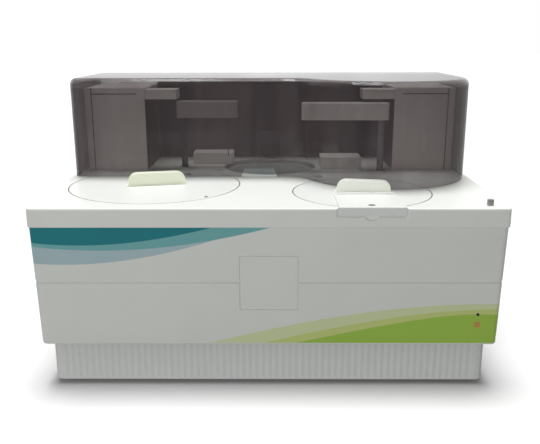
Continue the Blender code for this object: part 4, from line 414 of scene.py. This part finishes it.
def make_materials():
    """Every material, by the name used below."""
    return {
        "cover": moulded("cover_white", (0.82, 0.84, 0.80), 0.40, shine=0.3),
        "lid": moulded("lid_white", (0.81, 0.83, 0.80), 0.36, shine=0.3),
        "panel": moulded("panel_grey", (0.78, 0.80, 0.76), 0.42),
        "sheet": moulded("sheet_grey", (0.76, 0.78, 0.74), 0.42, grain=0.0012, depth=0.00004),
        # Base: the pale low colour and the darker high colour paint the floor's bounce and the
        # overhang's shade
        "base": base_with_painted_shade("base_grey", (0.93, 0.95, 0.92), (0.68, 0.70, 0.67)),
        "badge": moulded("badge_grey", (0.78, 0.80, 0.76), 0.36),
        "handle": moulded("handle_cream", (0.92, 0.96, 0.78), 0.33, coat=0.2),
        "handle_pale": moulded("handle_pale", (0.96, 0.98, 0.90), 0.33, coat=0.2),
        "arm": moulded("arm_mauve", (0.98, 0.88, 0.87), 0.38),
        # Reagent arm: the sample arm's mauve at under half its brightness, painted shade
        "arm_shaded": moulded("arm_mauve_shaded", (0.43, 0.38, 0.38), 0.38),
        # Housing: its near-black second colour is painted shade on the inner wall and in the seams
        "housing": housing_look("housing_warm", (0.90, 0.83, 0.81), (0.07, 0.065, 0.065)),
        "box": moulded("box_white", (0.86, 0.84, 0.80), 0.45),
        "tub": moulded("tub_white", (0.74, 0.76, 0.75), 0.42),
        "rack_blue": moulded("rack_blue", (0.18, 0.31, 0.42), 0.38),
        "rack_grey": moulded("rack_grey", (0.52, 0.54, 0.56), 0.38),
        "cuvette": moulded("cuvette_clear", (0.72, 0.76, 0.75), 0.15, coat=0.4),
        "dark": moulded("dark_plastic", (0.055, 0.055, 0.060), 0.45),
        "wall": moulded("wall_dark", (0.055, 0.055, 0.060), 0.50, grain=0.006, depth=0.00001),
        # Dark grey of the rings that paint the shade deep in the lid gaps
        "shade_ring": moulded("shade_ring_grey", (0.15, 0.15, 0.15), 0.60),
        "lock": moulded("lock_grey", (0.22, 0.22, 0.22), 0.35, coat=0.2),
        "black": moulded("black_gloss", (0.020, 0.020, 0.022), 0.22, coat=0.3),
        "amber": moulded("lamp_amber", (0.62, 0.30, 0.08), 0.22, coat=0.3),
        "rubber": moulded("foot_rubber", (0.03, 0.03, 0.03), 0.75, grain=0.0015, depth=0.0001),
        "steel": brushed("steel_brushed", (0.60, 0.61, 0.62), 0.28, "Z"),
        "knurl": brushed("steel_knurled", (0.30, 0.30, 0.29), 0.34, "Z"),
        "post": moulded("post_grey", (0.28, 0.25, 0.28), 0.30, coat=0.2),
        "post_dark": moulded("post_dark", (0.07, 0.07, 0.075), 0.35, coat=0.2),
        "plate": brushed("plate_steel", (0.58, 0.59, 0.60), 0.35, "X"),
        "alu": brushed("aluminium_satin", (0.56, 0.57, 0.58), 0.38, "Z"),
        "board": moulded("board_green", (0.04, 0.20, 0.11), 0.35, coat=0.4),
        # Hood: the end walls' density of 0.72 is painted shade
        "hood": smoked("hood_smoke", (0.100, 0.076, 0.080), 0.38, 0.72),
        "teal_dark": moulded("print_teal_dark", (0.008, 0.215, 0.250), 0.38),
        "teal_mid": moulded("print_teal_mid", (0.180, 0.460, 0.470), 0.38),
        "teal_light": moulded("print_teal_light", (0.440, 0.580, 0.610), 0.38),
        "green_dark": moulded("print_green_dark", (0.380, 0.600, 0.080), 0.38),
        "green_mid": moulded("print_green_mid", (0.610, 0.700, 0.240), 0.38),
        "green_light": moulded("print_green_light", (0.680, 0.760, 0.440), 0.38),
    }


NODE_LOOKS = {
    "cover": ("top_cover",),
    "lid": ("reagent_lid", "sample_lid", "sample_flap", "reagent_wash_well", "sample_wash_well"),
    "panel": ("front_panel",),
    "sheet": ("side_panel_left", "side_panel_right", "rear_panel"),
    "base": ("base_tray",),
    "badge": ("badge_plate",),
    "handle": ("reagent_lid_handle",),
    "handle_pale": ("sample_lid_handle",),
    "arm": ("sample_arm",),
    "arm_shaded": ("reagent_arm",),
    "housing": ("rear_housing_left", "rear_housing_right"),
    "box": ("lamp_house", "detector_box", "reaction_bath"),
    "tub": ("reagent_tub", "sample_tub", "syringe_block"),
    "rack_blue": ("reagent_carousel",),
    "rack_grey": ("sample_carousel",),
    "cuvette": ("reaction_carousel",),
    "wall": ("deck_rear_wall", "cuvette_washer"),
    "dark": ("reagent_drive", "sample_drive", "reaction_drive",
             "hood_hinge_left", "hood_hinge_right", "fan_frame", "fan_rotor", "power_inlet"),
    "black": ("power_lamp", "power_rocker"),
    "amber": ("status_lamp",),
    "rubber": ("foot_front_left", "foot_front_right", "foot_rear_left", "foot_rear_right"),
    "steel": ("reagent_plunger", "sample_plunger", "flap_hinge_pin"),
    "knurl": ("cover_thumbscrew",),
    "post": ("sample_arm_post",),
    "post_dark": ("reagent_arm_post", "reagent_probe", "sample_probe"),
    "plate": ("chassis_plate",),
    "alu": ("power_supply", "reagent_arm_drive", "sample_arm_drive", "reagent_carriage",
            "sample_carriage"),
    "board": ("control_board",),
    "hood": ("hood",),
}


def dress_nodes(materials):
    """Give every CAD node its finished material."""
    for look, names in NODE_LOOKS.items():
        for name in names:
            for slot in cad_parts[name].material_slots:
                slot.material = materials[look]


# Pieces of the scene

def link(thing):
    """Put an object into the scene."""
    bpy.context.scene.collection.objects.link(thing)


def mesh_from(name, form):
    """Mesh made of a bmesh, which is used up."""
    mesh = bpy.data.meshes.new(name)
    form.to_mesh(mesh)
    form.free()
    return mesh


def add_piece(name, form, look, body):
    """Object from a bmesh, with its material, that rides on a body of the frame."""
    mesh = mesh_from(name, form)
    mesh.materials.append(look)
    piece = bpy.data.objects.new(name, mesh)
    link(piece)
    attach(piece, body)


# Printed stripes on the front panel

def panel_path(inset):
    """Panel outline at its foot from the left seam round to the right seam, moved inwards."""
    side = PANEL_HALF - inset
    front = PANEL_FRONT + inset
    radius = PANEL_CORNER - inset
    points = [Vector((-side, PANEL_SEAM_Y - STRIPE_END_GAP))]
    for step in range(PANEL_CORNER_STEPS + 1):
        angle = math.radians(180 + 90 * step / PANEL_CORNER_STEPS)
        points.append(Vector((-side + radius + radius * math.cos(angle),
                              front + radius + radius * math.sin(angle))))
    return points + [Vector((-point.x, point.y)) for point in reversed(points)]


def widened(x, z):
    """Sideways place on the panel at a height, as its sides lean outwards."""
    return x * (1 + PANEL_DRAFT / PANEL_HALF * (z - PANEL_LOW) / (PANEL_HIGH - PANEL_LOW))


def leaning_edge(level_at, height, bend, slope, sign):
    """Stripe edge that is level at one place and bends up (1) or down (-1) away from it."""
    def edge(place):
        run = slope * (place - level_at)
        rise = math.sqrt(bend ** 2 + run ** 2) - bend
        return min(STRIPE_HIGH, max(STRIPE_LOW, height + sign * rise))
    return edge


def taper(closed, opened):
    """Pointed end of a stripe, at the column where its edges have met."""
    level = (closed[2] + closed[3]) / 2
    return (closed[0], closed[1], level, level)


def stripe_columns(low_edge, high_edge):
    """Places along the panel, with the low and high edge at each, where a stripe has height."""
    path = panel_path(0.0)
    lengths = [0.0]
    for start, end in zip(path, path[1:]):
        lengths.append(lengths[-1] + (end - start).length)
    middle = lengths[-1] / 2
    columns = []
    before = None
    for index in range(len(path) - 1):
        span = lengths[index + 1] - lengths[index]
        count = max(1, round(span / STRIPE_STEP))
        for step in range(count + (index == len(path) - 2)):
            place = lengths[index] + span * step / count - middle
            low = low_edge(place)
            high = high_edge(place)
            here = (index, step / count, low, high)
            if high > low:
                if before is not None and before[3] <= before[2]:
                    columns.append(taper(before, here))
                columns.append(here)
            elif before is not None and before[3] > before[2]:
                columns.append(taper(here, before))
            before = here
    return columns


def make_stripe(name, low_edge, high_edge, look):
    """One printed stripe as a thin skin on the panel."""
    form = bmesh.new()
    layers = []
    columns = stripe_columns(low_edge, high_edge)
    for inset in (0.0, -STRIPE_PROUD):
        path = panel_path(inset)
        rows = []
        for index, share, low, high in columns:
            spot = path[index].lerp(path[index + 1], share)
            rows.append([form.verts.new((widened(spot.x, z), spot.y, z)) for z in (low, high)])
        layers.append(rows)
    inner, outer = layers
    for here in range(len(columns) - 1):
        there = here + 1
        form.faces.new((outer[here][0], outer[there][0], outer[there][1], outer[here][1]))
        form.faces.new((inner[here][1], inner[there][1], inner[there][0], inner[here][0]))
        form.faces.new((outer[here][1], outer[there][1], inner[there][1], inner[here][1]))
        form.faces.new((inner[here][0], inner[there][0], outer[there][0], outer[here][0]))
    for end in (0, -1):
        form.faces.new((inner[end][0], outer[end][0], outer[end][1], inner[end][1]))
    bmesh.ops.remove_doubles(form, verts=form.verts, dist=MERGE_DISTANCE)
    bmesh.ops.recalc_face_normals(form, faces=form.faces)
    add_piece(name, form, look, "casing")


def make_stripes(materials):
    """Three teal stripes from the upper left and three green ones at the lower right."""
    teal = [lambda place: STRIPE_HIGH] + [leaning_edge(*edge, 1) for edge in TEAL_EDGES]
    green = [lambda place: STRIPE_LOW] + [leaning_edge(*edge, -1) for edge in GREEN_EDGES]
    for index, tone in enumerate(("dark", "mid", "light")):
        make_stripe("stripe_teal_" + tone, teal[index + 1], teal[index], materials["teal_" + tone])
        make_stripe("stripe_green_" + tone, green[index], green[index + 1],
                    materials["green_" + tone])


# Small details

def turned(form, profile, center, steps):
    """Solid of revolution about an upright line, from points of radius and height."""
    rings = []
    for step in range(steps):
        angle = 2 * math.pi * step / steps
        rings.append([form.verts.new((center[0] + radius * math.cos(angle),
                                      center[1] + radius * math.sin(angle), center[2] + height))
                      for radius, height in profile])
    for step in range(steps):
        here = rings[step - 1]
        there = rings[step]
        for index in range(len(profile)):
            form.faces.new((here[index - 1], here[index], there[index], there[index - 1]))
    bmesh.ops.remove_doubles(form, verts=form.verts, dist=MERGE_DISTANCE)
    bmesh.ops.dissolve_degenerate(form, edges=form.edges, dist=MERGE_DISTANCE)
    bmesh.ops.recalc_face_normals(form, faces=form.faces)


def make_turned(name, profile, center, steps, look, body):
    """Turned piece that rides on a body of the frame."""
    form = bmesh.new()
    turned(form, profile, center, steps)
    add_piece(name, form, look, body)


def make_shade_ring(name, lid, look):
    """Dark ring in the gap round a lid, a little below the deck: painted shade for the deep gap.
    """
    x, y, radius = lid
    inner = radius + SHADE_RING_CLEARANCE
    outer = radius + LID_GAP - SHADE_RING_CLEARANCE
    low = SHADE_RING_CLEARANCE - LID_LEDGE_DEEP
    profile = [(inner, low), (outer, low), (outer, SHADE_RING_EDGE), ((inner + outer) / 2, SHADE_RING_CROWN),
               (inner, SHADE_RING_EDGE)]
    make_turned(name, profile, (x, y, DECK), SHADE_RING_STEPS, look, "casing")


def make_lock(look):
    """Round lock set in the flap, domed, with a round keyhole."""
    radius = LOCK_RADIUS
    low = LOCK_CLEARANCE - LOCK_RECESS
    rim, hole = LOCK_HOLE_SHARES
    profile = [(0.0, low), (radius, low), (radius, LOCK_EDGE), (radius * LOCK_DOME_SHARE, 0.0),
               (radius * rim, 0.0), (radius * hole, -LOCK_HOLE_DEEP), (0.0, -LOCK_HOLE_DEEP)]
    make_turned("flap_lock", profile, LOCK_PLACE, LOCK_STEPS, look, "flap_body")


def make_pin(look):
    """Small round-headed locating pin in the rim of the reagent lid."""
    radius = PIN_RADIUS
    profile = [(0.0, PIN_FOOT), (radius, PIN_FOOT), (radius, PIN_SIDE),
               (radius * PIN_SHOULDER_SHARE, PIN_SHOULDER), (0.0, PIN_TOP)]
    make_turned("lid_pin", profile, PIN_PLACE, PIN_STEPS, look, "reagent_lid_body")


def make_screws(name, places, outward, look):
    """Pan-head screws with a round socket, at places on a panel that faces outward."""
    profile = [(0.0, -SCREW_SUNK), (SCREW_RADIUS, -SCREW_SUNK), (SCREW_RADIUS, SCREW_PROUD / 2),
               (SCREW_RADIUS * SCREW_CROWN_SHARE, SCREW_PROUD), (SCREW_SOCKET, SCREW_PROUD),
               (SCREW_SOCKET, 0.0), (0.0, 0.0)]
    turn = Vector(outward).to_track_quat("Z", "Y").to_matrix().to_4x4()
    form = bmesh.new()
    for place in places:
        head = bmesh.new()
        turned(head, profile, (0, 0, 0), SCREW_STEPS)
        head.transform(Matrix.Translation(place) @ turn)
        mesh = mesh_from(name + "_head", head)
        form.from_mesh(mesh)
        bpy.data.meshes.remove(mesh)
    add_piece(name, form, look, "casing")


def make_panel_screws(look):
    """Screws that hold the side panels and the rear panel."""
    for name, side in (("left", -1), ("right", 1)):
        places = [(side * widened(PANEL_HALF, z), y, z) for y in SIDE_SCREW_DEPTHS
                  for z in SCREW_HEIGHTS]
        make_screws("side_screws_" + name, places, (side, 0, 0), look)
    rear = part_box("rear_panel")[1][1]
    places = [(x, rear, z) for x in REAR_SCREW_PLACES for z in SCREW_HEIGHTS]
    make_screws("rear_screws", places, (0, 1, 0), look)


def make_details(materials):
    """Dark rings as painted shade in the lid gaps, the flap's lock, the lid's pin and the panel
    screws.
    """
    make_shade_ring("reagent_lid_shade_ring", REAGENT_LID, materials["shade_ring"])
    make_shade_ring("sample_lid_shade_ring", SAMPLE_LID, materials["shade_ring"])
    make_lock(materials["lock"])
    make_pin(materials["lock"])
    make_panel_screws(materials["steel"])


# Stage

def make_camera():
    """Camera at the photograph's viewpoint."""
    data = bpy.data.cameras.new("camera")
    data.sensor_width = SENSOR_MM
    data.lens = FOCAL_PIXELS / IMAGE_WIDTH * SENSOR_MM
    camera = bpy.data.objects.new("camera", data)
    camera.location = CAMERA_PLACE
    aim = Matrix.Rotation(math.radians(CAMERA_YAW_DEG), 3, "Z")
    aim = aim @ Matrix.Rotation(math.radians(90 - CAMERA_PITCH_DEG), 3, "X")
    aim = aim @ Matrix.Rotation(math.radians(CAMERA_ROLL_DEG), 3, "Z")
    camera.rotation_euler = aim.to_euler()
    link(camera)
    bpy.context.scene.camera = camera


def make_overhead_lights():
    """Two broad soft lights from above, from a little behind, leaning to either side."""
    for side_deg in OVERHEAD_SIDES_DEG:
        data = bpy.data.lights.new("overhead_light", "SUN")
        data.energy = OVERHEAD_STRENGTH
        data.angle = math.radians(OVERHEAD_DISC_DEG)
        lamp = bpy.data.objects.new("overhead_light", data)
        lamp.rotation_euler = (math.radians(OVERHEAD_BACK_DEG), math.radians(side_deg), 0)
        link(lamp)


def make_front_light():
    """Round lamp in front, to the left, that the glossy surfaces don't mirror."""
    data = bpy.data.lights.new("front_light", "AREA")
    data.shape = "DISK"
    data.size = FRONT_SIZE
    data.energy = FRONT_WATTS
    lamp = bpy.data.objects.new("front_light", data)
    lamp.location = FRONT_PLACE
    lamp.rotation_euler = (-Vector(FRONT_PLACE)).to_track_quat("-Z", "Y").to_euler()
    lamp.visible_glossy = False
    link(lamp)


def make_world():
    """Even grey light, white to the camera; mirrors find a streaked room, dimmer in front."""
    world = bpy.data.worlds.new("studio")
    bpy.context.scene.world = world
    world.use_nodes = True
    world.node_tree.nodes.clear()
    nodes = Nodes(world.node_tree)
    path = nodes.add("ShaderNodeLightPath").outputs
    way = nodes.add("ShaderNodeTexCoord").outputs["Generated"]
    back = nodes.add("ShaderNodeSeparateXYZ", Vector=way).outputs["Y"]
    streaks = upright_streaks(nodes, way, ROOM_STREAK)
    mirrored = spread(nodes, back, spread(nodes, streaks, *MIRRORED_FRONT),
                      spread(nodes, streaks, *MIRRORED_BACK), MIRRORED_TURN, "SMOOTHSTEP")
    seen = computed(nodes, "MAXIMUM", path["Is Camera Ray"], path["Is Transmission Ray"])
    plain = spread(nodes, seen, SKY_STRENGTH, WHITE_STRENGTH)
    strength = spread(nodes, path["Is Glossy Ray"], plain, mirrored)
    glow = nodes.add("ShaderNodeBackground", Strength=strength)
    glow.inputs["Color"].default_value = (1, 1, 1, 1)
    output = nodes.add("ShaderNodeOutputWorld")
    nodes.tree.links.new(glow.outputs["Background"], output.inputs["Surface"])


def floor_paint():
    """Pale matte floor that throws back less light than the camera sees."""
    material, nodes, shader = blank_material("floor_pale")
    seen = nodes.add("ShaderNodeLightPath").outputs["Is Camera Ray"]
    level = spread(nodes, seen, FLOOR_BOUNCE, FLOOR_SEEN)
    tones = spread(nodes, noise(nodes, object_place(nodes), FLOOR_CLOUD), *FLOOR_TONES)
    nodes.put(shader, "Base Color", product(nodes, level, tones))
    nodes.put(shader, "Roughness", FLOOR_ROUGHNESS)
    nodes.put(shader, "Specular IOR Level", 0.0)
    return material


def make_floor():
    """Pale floor that keeps the shadow."""
    form = bmesh.new()
    bmesh.ops.create_grid(form, x_segments=2, y_segments=2, size=FLOOR_REACH)
    floor = bpy.data.objects.new("floor", mesh_from("floor", form))
    link(floor)
    floor.data.materials.append(floor_paint())


def main():
    """Dress the part and set the stage."""
    materials = make_materials()
    dress_nodes(materials)
    make_stripes(materials)
    make_details(materials)
    make_camera()
    make_world()
    make_overhead_lights()
    make_front_light()
    make_floor()
    bpy.context.scene.view_settings.view_transform = "Standard"


main()
